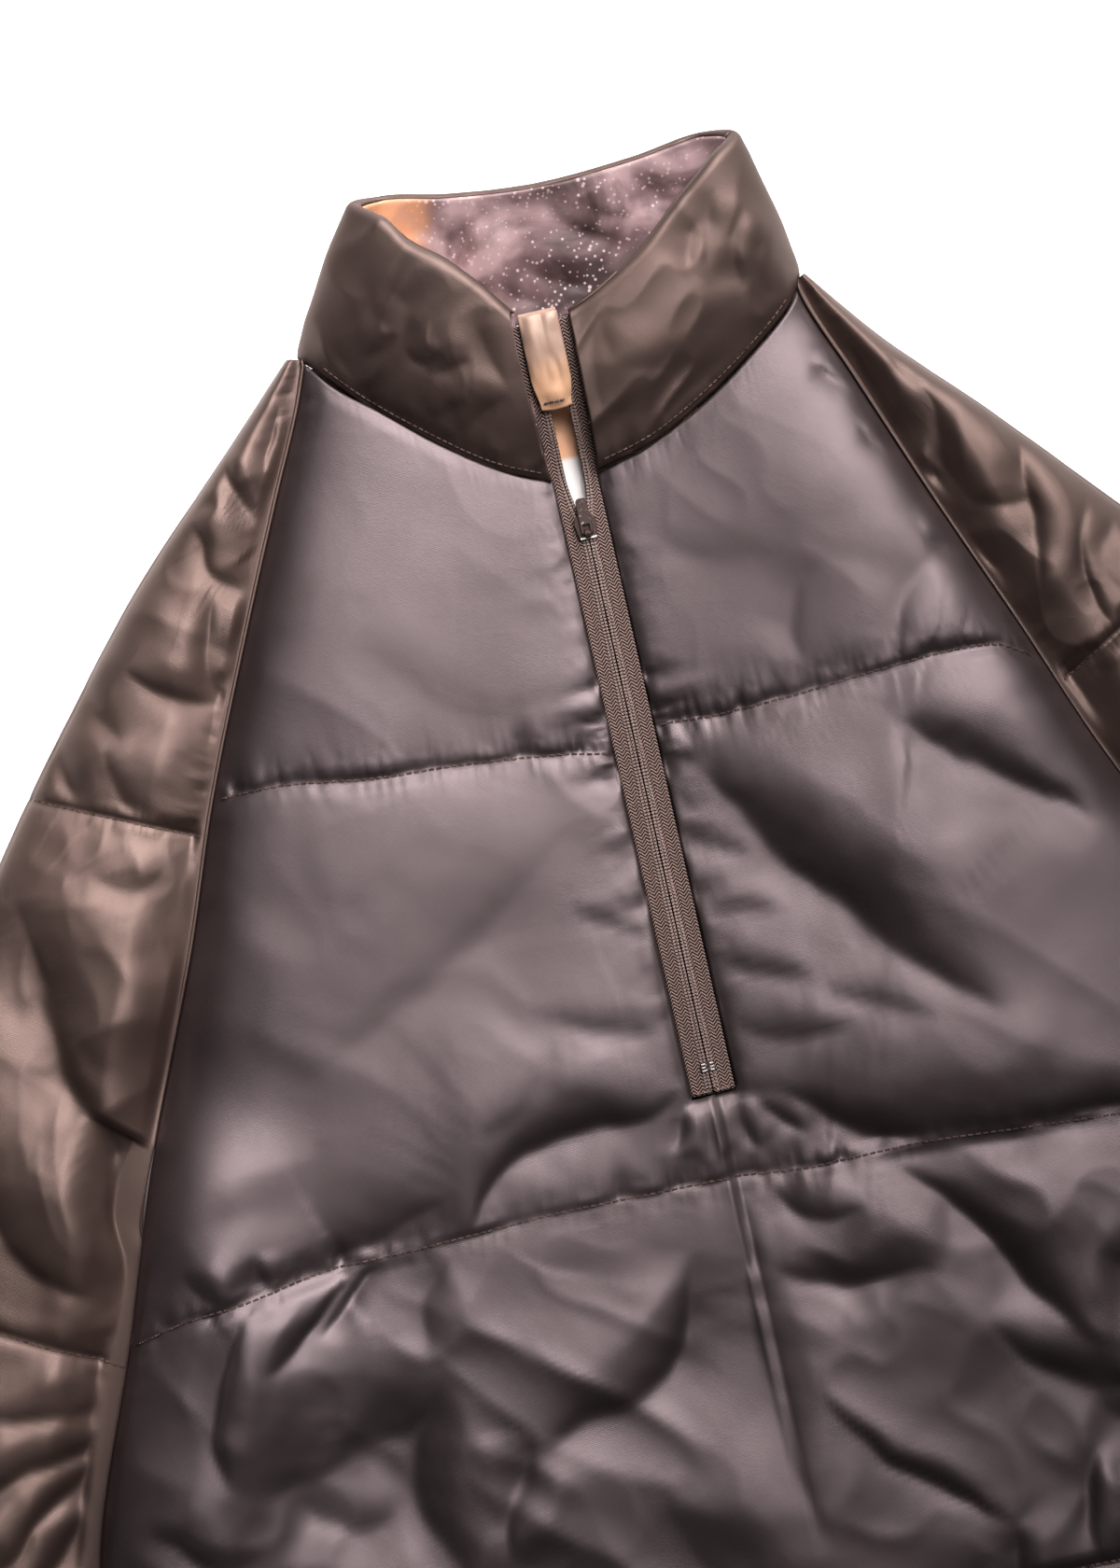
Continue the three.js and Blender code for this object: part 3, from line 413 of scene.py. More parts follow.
# Cloth of the body, the sleeves and the collar: a fine taffeta with a satin face. Its threads, its
# slight unevenness of colour and its crinkles are worked out from the place on the garment.
def new_group(name, inputs, outputs):
    """A node group from its inputs (name, kind, value) and outputs (name, kind)."""
    group = bpy.data.node_groups.new(name, "ShaderNodeTree")
    for socket_name, kind, value in inputs:
        socket = group.interface.new_socket(socket_name, in_out="INPUT", socket_type=kind)
        if value is not None:
            socket.default_value = value
    for socket_name, kind in outputs:
        group.interface.new_socket(socket_name, in_out="OUTPUT", socket_type=kind)
    return group, group.nodes.new("NodeGroupInput"), group.nodes.new("NodeGroupOutput")


def connect(tree, node, inputs):
    """Links or sets a node's inputs. None leaves one as it is."""
    for key, value in inputs.items():
        if isinstance(value, bpy.types.NodeSocket):
            tree.links.new(value, node.inputs[key])
        elif value is not None:
            node.inputs[key].default_value = value


def add_node(tree, kind, inputs, **settings):
    """A new node with its settings and inputs. Returns its outputs."""
    node = tree.nodes.new("ShaderNode" + kind)
    for key, value in settings.items():
        setattr(node, key, value)
    connect(tree, node, inputs)
    return node.outputs


def split_node(tree, vector):
    return add_node(tree, "SeparateXYZ", {0: vector})


def scale_node(tree, vector, scale):
    return add_node(tree, "VectorMath", {0: vector, "Scale": scale}, operation="SCALE")[0]


def math_node(tree, operation, *values):
    return add_node(tree, "Math", dict(enumerate(values)), operation=operation)[0]


def noise_node(tree, vector, scale, detail=3.0, distortion=0.0):
    inputs = {"Vector": vector, "Scale": scale, "Detail": detail, "Distortion": distortion}
    return add_node(tree, "TexNoise", inputs)["Fac"]


weave, weave_in, weave_out = new_group(
    "weave",
    [("Vector", "NodeSocketVector", None), ("Threads per metre", "NodeSocketFloat", 1400.0)],
    [("Height", "NodeSocketFloat")],
)
weave_axes = split_node(weave, weave_in.outputs["Vector"])
thread_waves = []
for axis in ("X", "Y"):
    threads = math_node(weave, "MULTIPLY", weave_axes[axis], weave_in.outputs["Threads per metre"])
    turn = math_node(weave, "MULTIPLY", threads, 2 * math.pi)
    thread_waves.append(math_node(weave, "SINE", turn))
crossed = math_node(weave, "MULTIPLY", thread_waves[0], thread_waves[1])
ribbed = math_node(weave, "ADD", crossed, thread_waves[1])
weave.links.new(math_node(weave, "MULTIPLY", ribbed, 0.5), weave_out.inputs["Height"])

crinkle, crinkle_in, crinkle_out = new_group(
    "crinkle",
    [("Vector", "NodeSocketVector", None), ("Scale", "NodeSocketFloat", 40.0)],
    [("Height", "NodeSocketFloat"), ("Shade", "NodeSocketFloat")],
)
crinkle_place = scale_node(crinkle, crinkle_in.outputs["Vector"], crinkle_in.outputs["Scale"])
crease_noise = noise_node(crinkle, crinkle_place, 1.0, 4.0, 0.6)
crease_fold = math_node(crinkle, "ABSOLUTE", math_node(crinkle, "SUBTRACT", crease_noise, 0.5))
crinkle.links.new(math_node(crinkle, "MULTIPLY", crease_fold, -1.0), crinkle_out.inputs["Height"])
crinkle.links.new(noise_node(crinkle, crinkle_place, 0.45, 2.0), crinkle_out.inputs["Shade"])


def add_group(tree, group, vector, **values):
    """Puts a group into a material. Its inputs are named with underscores for spaces."""
    node = tree.nodes.new("ShaderNodeGroup")
    node.node_tree = group
    tree.links.new(vector, node.inputs["Vector"])
    for key, value in values.items():
        node.inputs[key.replace("_", " ")].default_value = value
    return node


def ramp_node(tree, factor, stops):
    node = tree.nodes.new("ShaderNodeValToRGB")
    elements = node.color_ramp.elements
    while len(elements) < len(stops):
        elements.new(0.5)
    for element, (place, colour) in zip(elements, stops):
        element.position = place
        element.color = (*colour, 1)
    tree.links.new(factor, node.inputs["Fac"])
    return node.outputs["Color"]


def bump_node(tree, height, distance, strength=1.0, normal=None):
    inputs = {"Height": height, "Distance": distance, "Strength": strength, "Normal": normal}
    return add_node(tree, "Bump", inputs)["Normal"]


def new_material(name):
    """A material with its tree, its shader and the place on the garment."""
    material = bpy.data.materials.new(name)
    material.use_nodes = True
    tree = material.node_tree
    place = tree.nodes.new("ShaderNodeTexCoord").outputs["Object"]
    return material, tree, tree.nodes["Principled BSDF"], place


def taffeta(name, dark, light, roughness, gloss, tint, threads=1400.0):
    """Woven satin-faced cloth. Its colour wanders between dark and light along the crinkles."""
    material, tree, shader, place = new_material(name)
    threads_node = add_group(tree, weave, place, Threads_per_metre=threads)
    creases = add_group(tree, crinkle, place, Scale=34.0)
    colour = ramp_node(tree, creases.outputs["Shade"], [(0.3, dark), (0.7, light)])
    uneven = math_node(tree, "MULTIPLY", creases.outputs["Shade"], 0.16)
    creased = bump_node(tree, creases.outputs["Height"], 0.0012, 0.16)
    connect(tree, shader, {
        "Base Color": colour,
        "Roughness": math_node(tree, "ADD", uneven, roughness - 0.08),
        "Normal": bump_node(tree, threads_node.outputs["Height"], 0.00004, 0.6, creased),
        "IOR": 1.75,
        "Specular IOR Level": gloss,
        "Specular Tint": (*tint, 1),
    })
    return material


body_cloth = taffeta(
    "body taffeta", (0.008, 0.0048, 0.0044), (0.012, 0.007, 0.0064), 0.55, 1.0, (0.94, 0.76, 0.785)
)

front_mesh = bmesh.new()
bmesh.ops.create_grid(front_mesh, x_segments=FRONT_COLUMNS, y_segments=FRONT_ROWS, size=1)
slot_faces = []
for face in front_mesh.faces:
    centre = face.calc_center_median()
    if abs(centre.x) < SLOT_COLUMNS / FRONT_COLUMNS:
        row = quilted_rows(np.array([(centre.y - 1 / FRONT_ROWS) * 0.5 + 0.5]))
        lower_drop = body_place(np.array([-1e-9]), row, LINES, 0.0)[1][0]
        if lower_drop <= SLOT_END + 1.5:
            slot_faces.append(face)
bmesh.ops.delete(front_mesh, geom=slot_faces, context="FACES")
spread(front_mesh, front_place)
front = new_piece("front", front_mesh, body_cloth, ["front_panel"])
thicken(front, SHELL)


# Back panel. The same padded taffeta, flat on the surface under the front and cut to the same
# outline. Only its rim shows, so it has the quilting lines and a few soft creases.
BACK_NECK_LINE = ((-108, -77), (-60, -72), (0, -71.4), (60, -69), (118, -62))
BACK_FOLDS = (
    (((-180, 150), (-60, 220), (40, 250)), 20, 1.8, 26, 26),
    (((150, 160), (80, 230), (60, 300)), 18, 1.8, 26, 26),
    (((-200, 380), (-120, 430), (-60, 500)), 20, 1.6, 26, 26),
    (((60, 360), (140, 420), (240, 450)), 22, 1.8, 26, 26),
    (((-60, 20), (10, 50), (80, 40)), 20, 1.4, 26, 26),
)


def back_place(u, v):
    across = u * 2 - 1
    row = quilted_rows(v)
    lines = (BACK_NECK_LINE,) + LINES[1:]
    x, drop, from_above, to_below, band = body_place(across, row, lines, 0.0)
    side_gap = np.abs(body_edge(np.sign(across), drop) - np.abs(x))
    groove = 1.6 * np.exp(-np.minimum(from_above, to_below) / 4) * (row > 0.02) * (row < 3.98)
    z = lift(x, drop) + 0.3 + groove + np.maximum(0, relief(BACK_FOLDS, x, drop))
    return x, drop, z + 3.2 * np.exp(-side_gap / 3.5)


back_mesh = cloth_grid(110, 120, back_place, inside_out=True)
back = new_piece("back", back_mesh, body_cloth, ["back_panel"])
thicken(back, SHELL)


# Sleeves. Padded raglan sleeves of the same taffeta in a warmer brown, each one tube that lies
# flat, sewn to the body along its slanting edge. The left one is tucked a little under the body.
SLEEVES = (
    {
        "name": "left",
        "side": -1,
        "outer": (  # share of the length, x, drop, height
            (0, -117, -82, 16), (0.1, -158, -42, 24), (0.22, -203, 1, 27), (0.34, -247, 52, 27),
            (0.45, -285, 100, 27), (0.62, -342, 182, 30), (0.78, -399, 285, 29), (1, -492, 520, 22),
        ),
        "seam": (  # share, drop along the raglan seam
            (0, -80), (0.075, -53), (0.15, -9), (0.225, 38), (0.3, 82), (0.375, 106),
            (0.45, 136), (0.525, 192), (0.6, 252),
        ),
        "inner": (  # share, x, drop, top, underside, tucked
            (0.6, -252, 252, 17, 8, 9), (0.63, -260.6, 272, 16.5, 3.5, 14),
            (0.66, -267, 290, 15.5, 0, 14), (0.695, -263, 312, 15, 0, 18),
            (0.73, -262, 332, 15, 0, 24), (0.78, -268, 358, 15, 0, 29),
            (0.8, -272, 369, 15, 0, 29), (0.85, -288, 408, 15, 0, 27),
            (0.9, -311, 455, 15, 0, 20), (0.95, -343, 508, 14, 0, 10), (1, -377, 560, 13, 0, 8),
        ),
        "folds": (
            (((-124, -62), (-128, -46), (-137, -27)), 3.8, 3.8, 7.6, 6.3),
            (((-154, -43), (-148, -29), (-142, -12)), 4.9, 5.7, 10.1, 7.6),
            (((-172, -35), (-166, -29), (-160, -22)), 4.1, 2.9, 7.6, 6.3),
            (((-172, -20), (-164, -8), (-163, 5), (-154, 15)), 6, 6.3, 8.8, 10.1),
            (((-168, 12), (-172, 34), (-174, 50), (-170, 68)), 7.6, 8.1, 10.1, 10.1),
            (((-216, 38), (-204, 48), (-192, 54), (-176, 64)), 5.5, 6.3, 11.3, 12.6),
            (((-240, 30), (-229, 50), (-222, 72)), 9.6, 5, 15.1, 15.1),
            (((-254, 58), (-248, 82), (-241, 110)), 8.2, 6.3, 12.6, 12.6),
            (((-232, 72), (-222, 96), (-206, 122)), 9.6, 6.3, 15.1, 12.6),
            (((-294, 116), (-281, 131), (-273, 166), (-271, 203), (-264, 243), (-264, 278)),
             15, 16.5, 20.2, 25.2),
            (((-250, 128), (-234, 134), (-216, 130)), 6.8, 2.9, 11.3, 11.3),
            (((-332, 246), (-318, 270), (-309, 292), (-290, 316)), 12.3, 11.5, 25.2, 32.8),
            (((-352, 352), (-326, 357), (-300, 361)), 6.3, 6.8, 10.1, 10.1),
            (((-376, 392), (-355, 385), (-330, 378), (-302, 373)), 6.3, 10.5, 10.1, 10.1),
            (((-386, 436), (-360, 418), (-340, 402), (-308, 387)), 6.5, 11.5, 10.1, 10.1),
            (((-372, 452), (-342, 424), (-316, 407)), 5.5, 9.5, 8.8, 8.8),
            (((-350, 200), (-340, 232), (-322, 262)), 10.9, 3.8, 20.2, 17.6),
            (((-430, 380), (-400, 420), (-350, 460)), 10.9, 6.3, 17.6, 17.6),
            (((-446, 440), (-420, 480), (-376, 500)), 10.9, 5.7, 17.6, 17.6),
        ),
    },
    {
        "name": "right",
        "side": 1,
        "outer": (
            (0, 123, -69, 16), (0.1, 152, -32, 25), (0.22, 194, 13, 28), (0.34, 237, 61, 28),
            (0.45, 280, 108, 28), (0.62, 345, 190, 30), (0.78, 420, 292, 29), (1, 545, 505, 22),
        ),
        "seam": (
            (0, -66), (0.075, -38), (0.15, 7), (0.225, 55), (0.3, 100), (0.375, 124),
            (0.45, 152), (0.525, 203), (0.6, 259),
        ),
        "inner": (
            (0.6, 245, 259, 10, 0, 9), (0.63, 253.4, 275, 11, 0, 14), (0.66, 263, 295, 13, 0, 14),
            (0.695, 280, 316, 14, 0, 12), (0.73, 294, 340, 15, 0, 10), (0.78, 317, 371, 15, 0, 10),
            (0.8, 326, 384, 15, 0, 10), (0.85, 350, 424, 15, 0, 10), (0.9, 375, 470, 15, 0, 10),
            (0.95, 403, 517, 14, 0, 8), (1, 432, 562, 13, 0, 8),
        ),
        "folds": (
            (((136, -34), (139, -18), (147, 8)), 4.6, 5, 6.3, 7.6),
            (((160, -10), (168, 4), (171, 28), (171, 50)), 6.8, 7.5, 11.3, 11.3),
            (((197, 20), (200, 45), (202, 65), (200, 83), (193, 104)), 7.6, 9.3, 13.9, 13.9),
            (((226, 56), (220, 76), (219, 97), (223, 123)), 4.6, 5, 10.1, 10.1),
            (((236, 70), (231, 88), (234, 110)), 8.2, 4.5, 11.3, 11.3),
            (((147, 27), (156, 31), (165, 31)), 3.6, 3.8, 6.3, 6.3),
            (((163, 59), (168, 68), (177, 83)), 3.6, 3.8, 7.6, 6.3),
            (((168, 47), (184, 52), (200, 52)), 4.1, 2.5, 7.6, 7.6),
            (((150, -22), (158, -14), (166, -6)), 4.1, 2.9, 7.6, 7.6),
            (((206, 118), (212, 128), (216, 138)), 5.5, 3.8, 8.8, 8.8),
            (((250, 130), (280, 180), (290, 250)), 12.3, 6.3, 20.2, 17.6),
            (((300, 150), (320, 210), (330, 270)), 12.3, 5.7, 20.2, 17.6),
            (((350, 260), (340, 310), (330, 350)), 10.9, 6.3, 17.6, 17.6),
            (((400, 330), (400, 380), (380, 430)), 10.9, 6.3, 17.6, 17.6),
            (((430, 380), (430, 440), (420, 490)), 10.9, 6.3, 17.6, 17.6),
            (((470, 420), (480, 470), (480, 520)), 9.6, 5.4, 15.1, 15.1),
        ),
    },
)
SLEEVE_QUILTS = (0.42, 0.78)  # shares of the length where it is quilted
SLEEVE_LENGTH = 600.0
SEAM_SHARE = 0.6  # where the raglan seam ends and the sleeve leaves the body
TOP_END, FOLD_END, UNDER_END = 0.62, 0.72, 0.96  # shares of the way round where each part ends
FOLD_HEIGHT = 13  # at most, of the outer fold
ROLLED = math.radians(40)  # how far over the cloth is where the outer fold begins


def sleeve_surface(sleeve, round_share, share):
    """A place on the tube: round_share goes over the top, round the outer fold and back under."""
    side = sleeve["side"]
    edge_drop = column(sleeve["seam"], 0, 1, share)
    edge_x = side * body_edge(np.full_like(share, side), edge_drop) + side * 0.3
    seam_low = lift(edge_x, edge_drop)
    # the raglan seam, then the sleeve's own inner edge
    seam = (edge_x, edge_drop, seam_low + edge_top(edge_drop), seam_low, 2.0)
    inner_x, inner_drop, top, low, tucked = (
        np.where(share > SEAM_SHARE, column(sleeve["inner"], 0, i, share), value)
        for i, value in enumerate(seam, 1)
    )
    outer_x, outer_drop, height = (column(sleeve["outer"], 0, i, share) for i in (1, 2, 3))
    span_x, span_drop = outer_x - inner_x, outer_drop - inner_drop
    length = np.hypot(span_x, span_drop)
    span_x, span_drop = span_x / length, span_drop / length
    fold_top = np.minimum(FOLD_HEIGHT, height)
    round_in = np.minimum(fold_top / 2, length * 0.35)
    reach = length - round_in
    tucked = np.minimum(tucked, reach * 0.25)
    # over the top
    w = np.clip(round_share / TOP_END, 0, 1) ** 1.1
    far = reach + round_in * math.cos(ROLLED)
    along_top = w * far
    shown = np.clip((along_top - tucked) / (far - tucked), 0, 1)
    slow = np.clip(27.0 / (far - tucked), 0.2, 0.7)
    arch = smooth(-0.12, 1, shown / slow) ** 0.8 * np.sqrt(np.clip(1 - shown**3.4, 0, 1))
    base = mix(top, fold_top / 2 * (1 + math.sin(ROLLED)), w) - 1.2 * np.exp(-along_top / 4)
    z_top = base + np.maximum(0, height + 1.5 - base) * arch
    # the outer fold, then the underside
    turn = np.clip((round_share - TOP_END) / (FOLD_END - TOP_END), 0, 1)
    angle = mix(ROLLED, -math.pi / 2, turn)
    along_fold = reach + round_in * np.cos(angle)
    z_fold = fold_top / 2 + fold_top / 2 * np.sin(angle)
    under = np.clip((UNDER_END - round_share) / (UNDER_END - FOLD_END), 0, 1)
    along_under, z_under = under * reach, low * smooth(0.6, 0.05, under)
    # closing up the inner side
    close = np.clip((round_share - UNDER_END) / (1 - UNDER_END), 0, 1)
    half = (top - low) / 2
    bend = math.pi * (-0.5 - close)
    along_close = half * np.cos(bend) * smooth(0.62, 0.7, share)
    z_close = (top + low) / 2 + half * np.sin(bend)
    part = np.searchsorted((TOP_END, FOLD_END, UNDER_END), round_share)
    along = np.choose(part, [along_top, along_fold, along_under, along_close])
    z = np.choose(part, [z_top, z_fold, z_under, z_close])
    x, drop = inner_x + span_x * along, inner_drop + span_drop * along
    on_top = smooth(0, 6, along - tucked) * np.choose(part, [1.0, 1 - turn, 0.0, 0.0])
    line_gap = np.min([np.abs(share - q) * SLEEVE_LENGTH for q in SLEEVE_QUILTS], axis=0)
    z = z - on_top * (2.2 * np.exp(-line_gap / 2.2) + 2.8 * np.exp(-line_gap / 20))
    calm = on_top * smooth(0, 12, line_gap)
    z += relief(sleeve["folds"], x, drop) * calm
    uneven = 1.1 * patches(x / 40, drop / 44, 71) + 1.5 * crumple(x, drop / 1.5, 34, 73)
    z += (uneven + 0.5 * crumple(x, drop / 1.4, 15, 76)) * calm
    z += on_top * puckers(along + 40, line_gap, 4.4, 11, 81)
    z += on_top * puckers(share * SLEEVE_LENGTH, np.maximum(along - tucked, 0), 2.2, 9, 91)
    return x, drop, z


sleeve_cloth = taffeta(
    "sleeve taffeta", (0.010, 0.0052, 0.004), (0.022, 0.012, 0.009), 0.58, 1.0, (0.98, 0.72, 0.65)
)

sleeve_pieces = {}
for sleeve in SLEEVES:
    flip = sleeve["side"] < 0
    sleeve_mesh = cloth_grid(
        150, 300, lambda u, v: sleeve_surface(sleeve, 1 - u if flip else u, 1 - v)
    )
    bmesh.ops.remove_doubles(sleeve_mesh, verts=sleeve_mesh.verts, dist=1e-6)
    bmesh.ops.recalc_face_normals(sleeve_mesh, faces=sleeve_mesh.faces)
    piece = new_piece("sleeve_" + sleeve["name"] + "_cloth", sleeve_mesh, sleeve_cloth,
                      ["sleeve_" + sleeve["name"]])
    thicken(piece, 1.6)
    sleeve_pieces[sleeve["name"]] = piece


# Stand collar. Outer taffeta and a printed satin facing, sewn together and turned along the free
# edge with padding between them. The two wings lie forward and the back stands behind them.
COLLAR = (  # share, seam x, drop, z, free edge x, drop, z, all on the outer cloth
    (0, -11.2, 0, 27, -12.8, -76, 49),
    (0.08, -36, -11.4, 27, -22, -89, 50),
    (0.16, -62, -31, 26, -36, -105, 50),
    (0.24, -88, -54.5, 24, -50, -117, 48),
    (0.29, -104, -73, 21, -60, -131, 46),
    (0.32, -112, -83, 11, -72, -143, 34),
    (0.35, -100, -82, 1, -58, -145, 21),
    (0.42, -55, -77.5, 0.4, -28, -139, 20),
    (0.5, 5, -76, 0.4, 12, -135, 20),
    (0.58, 62, -74, 0.4, 56, -137, 20),
    (0.65, 108, -70, 1.5, 90, -141, 21),
    (0.68, 121, -70, 11, 105, -136, 34),
    (0.71, 114, -57, 21, 92, -125, 46),
    (0.76, 97, -42, 24, 74, -111, 48),
    (0.84, 69, -23.5, 26, 52, -92, 50),
    (0.92, 40, -8.5, 27, 31, -79, 50),
    (1, 11.2, -0.8, 27, 13, -71, 48),
)
COLLAR_THICK = 7.0
COLLAR_HEIGHT = 73.0  # of the outer cloth, seam to free edge
COLLAR_FOLDS = (
    (((-72, -124), (-66, -100), (-62, -78)), 11.6, 3.6, 18.2, 20.8),
    (((-84, -74), (-68, -82), (-56, -88)), 7.2, 2.5, 11.7, 13),
    (((-60, -74), (-52, -66), (-44, -68)), 4.3, 2.5, 7.8, 7.8),
    (((-52, -58), (-40, -62), (-30, -60)), 4.6, 2.9, 9.1, 7.8),
    (((-56, -40), (-46, -46), (-36, -44)), 4.3, 2.5, 7.8, 7.8),
    (((-44, -30), (-34, -40), (-18, -44)), 4.6, 2.2, 9.1, 9.1),
    (((-26, -74), (-20, -62), (-18, -48)), 5.8, 2, 10.4, 10.4),
    (((-92, -84), (-84, -72), (-80, -58)), 7.2, 2.2, 11.7, 11.7),
    (((88, -112), (84, -92), (76, -76)), 7.2, 3.3, 11.7, 11.7),
    (((98, -104), (92, -82), (90, -64)), 4.9, 3.3, 7.8, 7.8),
    (((78, -100), (72, -86), (70, -72)), 4.9, 2.6, 9.1, 9.1),
    (((106, -92), (102, -76), (98, -64)), 5.2, 2.6, 7.8, 7.8),
    (((48, -92), (40, -70), (30, -44)), 14.5, 4, 23.4, 23.4),
    (((24, -66), (26, -44), (22, -24)), 8.7, 2.6, 13, 13),
)
FACING_FOLDS = (
    (((-22, -130), (-26, -114), (-36, -98)), 6.6, 7, 10.8, 10.8),
    (((18, -134), (22, -118), (38, -106), (46, -98)), 5.5, 7, 9.6, 10.8),
    (((30, -130), (40, -118), (52, -110)), 4.3, 4.2, 8.4, 8.4),
    (((-54, -126), (-50, -114), (-52, -104)), 4.3, 5, 7.2, 7.2),
    (((-4, -104), (12, -94), (24, -86)), 4.8, 3.6, 9.6, 9.6),
    (((58, -132), (64, -120), (70, -112)), 4.8, 3.6, 8.4, 8.4),
    (((-12, -92), (8, -84), (22, -80)), 3.6, 2.8, 7.2, 7.2),
)


def collar_surface(share, up, folds):
    """A place on the collar, share round from the left of the zip and up from the seam, with the
    way outwards, the bulge of the padding, the height of the folds and the seam's distance."""

    def at(s, rise):
        return np.stack([
            mix(column(COLLAR, 0, i, s), column(COLLAR, 0, i + 3, s), rise) for i in (1, 2, 3)
        ])

    here = at(share, up)
    along = at(np.minimum(1, share + 1e-3), up) - at(np.maximum(0, share - 1e-3), up)
    rise = at(share, np.ones_like(up)) - at(share, np.zeros_like(up))
    flip = np.array([1, -1, 1])[:, None]  # drop runs against y
    normal = np.cross((along * flip).T, (rise * flip).T).T * flip
    normal /= np.sqrt((normal**2).sum(0))
    flat = np.abs(normal[2])
    seam_gap = up * np.sqrt((rise**2).sum(0))
    bulge = 4.6 * np.sin(math.pi * up) * flat
    lumps = relief(folds, here[0], here[1])
    lumps += 0.9 * crumple(here[0] + here[1], (here[1] - here[0]) / 2, 19, 101)
    lumps *= smooth(2, 12, seam_gap) * flat
    lumps += puckers(share * 480, seam_gap, 2.3, 9, 111) * flat
    return here, normal, bulge, lumps, seam_gap


def collar_place(share, v, first, last, folds, groove):
    """The collar's cloth unrolled: up the outside, round the free edge and down the inside."""
    half = COLLAR_THICK / 2
    straight, around = COLLAR_HEIGHT - half, math.pi * half
    path = mix(first, last, v)  # millimetres up from the seam, past the edge and down inside
    turn = np.clip((path - straight) / around, 0, 1)
    edge = (straight + half * np.sin(math.pi * turn)) / COLLAR_HEIGHT
    down = np.clip((2 * straight + around - path) / COLLAR_HEIGHT, 0, 1)
    up = np.select([path < straight, path < straight + around], [path / COLLAR_HEIGHT, edge], down)
    inward = half * (1 - np.cos(math.pi * turn))
    here, normal, bulge, lumps, seam_gap = collar_surface(share, up, folds)
    outside = path < straight + around / 2
    swell = np.where(outside, bulge + lumps, 0.5 * bulge - lumps)
    if groove:
        swell = swell - 1.3 * np.exp(-seam_gap / 3.2)
    x, drop, z = here + normal * (inward - swell)
    return x, drop, np.maximum(z, 0.2)


collar_mesh = cloth_grid(
    280, 56, lambda u, v: collar_place(u, v, 0.0, 78.5, COLLAR_FOLDS, True), inside_out=True
)
collar = new_piece("collar_cloth", collar_mesh, sleeve_cloth, ["collar_shell"])
thicken(collar, 1.2)

# The print inside the collar: soft clouds of mauve and brown with pale dots, peach at one end.
speckle, speckle_in, speckle_out = new_group(
    "cloud print",
    [("Vector", "NodeSocketVector", None), ("Cloud size", "NodeSocketFloat", 40.0)],
    [("Clouds", "NodeSocketFloat"), ("Dots", "NodeSocketFloat")],
)
cloud_place = scale_node(speckle, speckle_in.outputs["Vector"], speckle_in.outputs["Cloud size"])
speckle.links.new(noise_node(speckle, cloud_place, 1.0, 5.0, 0.8), speckle_out.inputs["Clouds"])
dots = add_node(speckle, "TexVoronoi", {"Vector": cloud_place, "Scale": 14.0})
dot_size = math_node(speckle, "MULTIPLY", noise_node(speckle, cloud_place, 5.0, 1.0), 0.52)
inside_dot = math_node(speckle, "SUBTRACT", dot_size, dots["Distance"])
soft_dot = math_node(speckle, "MULTIPLY", inside_dot, 9.0)
soft_dot = add_node(speckle, "Clamp", {"Value": soft_dot})[0]
speckle.links.new(soft_dot, speckle_out.inputs["Dots"])


def colour_mix(tree, factor, first, second):
    first, second = ((*c, 1) if isinstance(c, tuple) else c for c in (first, second))
    return add_node(tree, "Mix", {0: factor, 6: first, 7: second}, data_type="RGBA")[2]


def map_range(tree, value, start, end):
    """0 at start, 1 at end, smooth between."""
    inputs = {"Value": value, "From Min": start, "From Max": end}
    return add_node(tree, "MapRange", inputs, interpolation_type="SMOOTHSTEP")[0]


facing_cloth, facing_tree, facing_shader, facing_place = new_material("printed satin")
print_node = add_group(facing_tree, speckle, facing_place, Cloud_size=26.0)
cloud_colour = ramp_node(
    facing_tree, print_node.outputs["Clouds"],
    [(0.36, (0.06, 0.034, 0.035)), (0.5, (0.22, 0.142, 0.145)), (0.62, (0.42, 0.29, 0.295))],
)
wobble = math_node(facing_tree, "MULTIPLY", print_node.outputs["Clouds"], 0.05)
across_facing = math_node(facing_tree, "ADD", split_node(facing_tree, facing_place)["X"], wobble)
peach_end = map_range(facing_tree, across_facing, -0.008, -0.026)
dotted = colour_mix(facing_tree, print_node.outputs["Dots"], cloud_colour, (0.50, 0.38, 0.37))
facing_threads = add_group(facing_tree, weave, facing_place, Threads_per_metre=1800.0)
connect(facing_tree, facing_shader, {
    "Base Color": colour_mix(facing_tree, peach_end, dotted, (0.62, 0.33, 0.20)),
    "Normal": bump_node(facing_tree, facing_threads.outputs["Height"], 0.00003, 0.5),
    "Roughness": 0.4,
})

facing_mesh = cloth_grid(
    230, 50, lambda u, v: collar_place(u, v, 78.7, 149.0, FACING_FOLDS, False), inside_out=True
)
facing = new_piece("collar_facing", facing_mesh, facing_cloth, ["collar_lining"])
thicken(facing, 1.0)


# Back neck lining. A piece of plain pale satin sewn under the facing at the back of the neck,
# with a peach band across it. Only a patch of it shows in the open neck.
def print_and_shade_band(material, colour, *edges):
    """Lays a second colour over a cloth's own, inside edges along y, each from none to full: a
    printed band on the lining, and painted shade on the garage.
    """
    tree = material.node_tree
    shader = tree.nodes["Principled BSDF"]
    along = split_node(tree, tree.nodes["Texture Coordinate"].outputs["Object"])["Y"]
    share = map_range(tree, along, *edges[0])
    for edge in edges[1:]:
        share = math_node(tree, "MULTIPLY", share, map_range(tree, along, *edge))
    base = shader.inputs["Base Color"].links[0].from_socket
    tree.links.new(colour_mix(tree, share, base, colour), shader.inputs["Base Color"])


def lining_place(u, v):
    x, drop = mix(-62, 62, u), mix(60, -70, v)
    raised = 7.0 * np.exp(-((x / 30) ** 2)) * smooth(56, 14, drop)
    return x, drop, 8.3 + raised + 0.5 * patches(x / 14, drop / 22, 121)


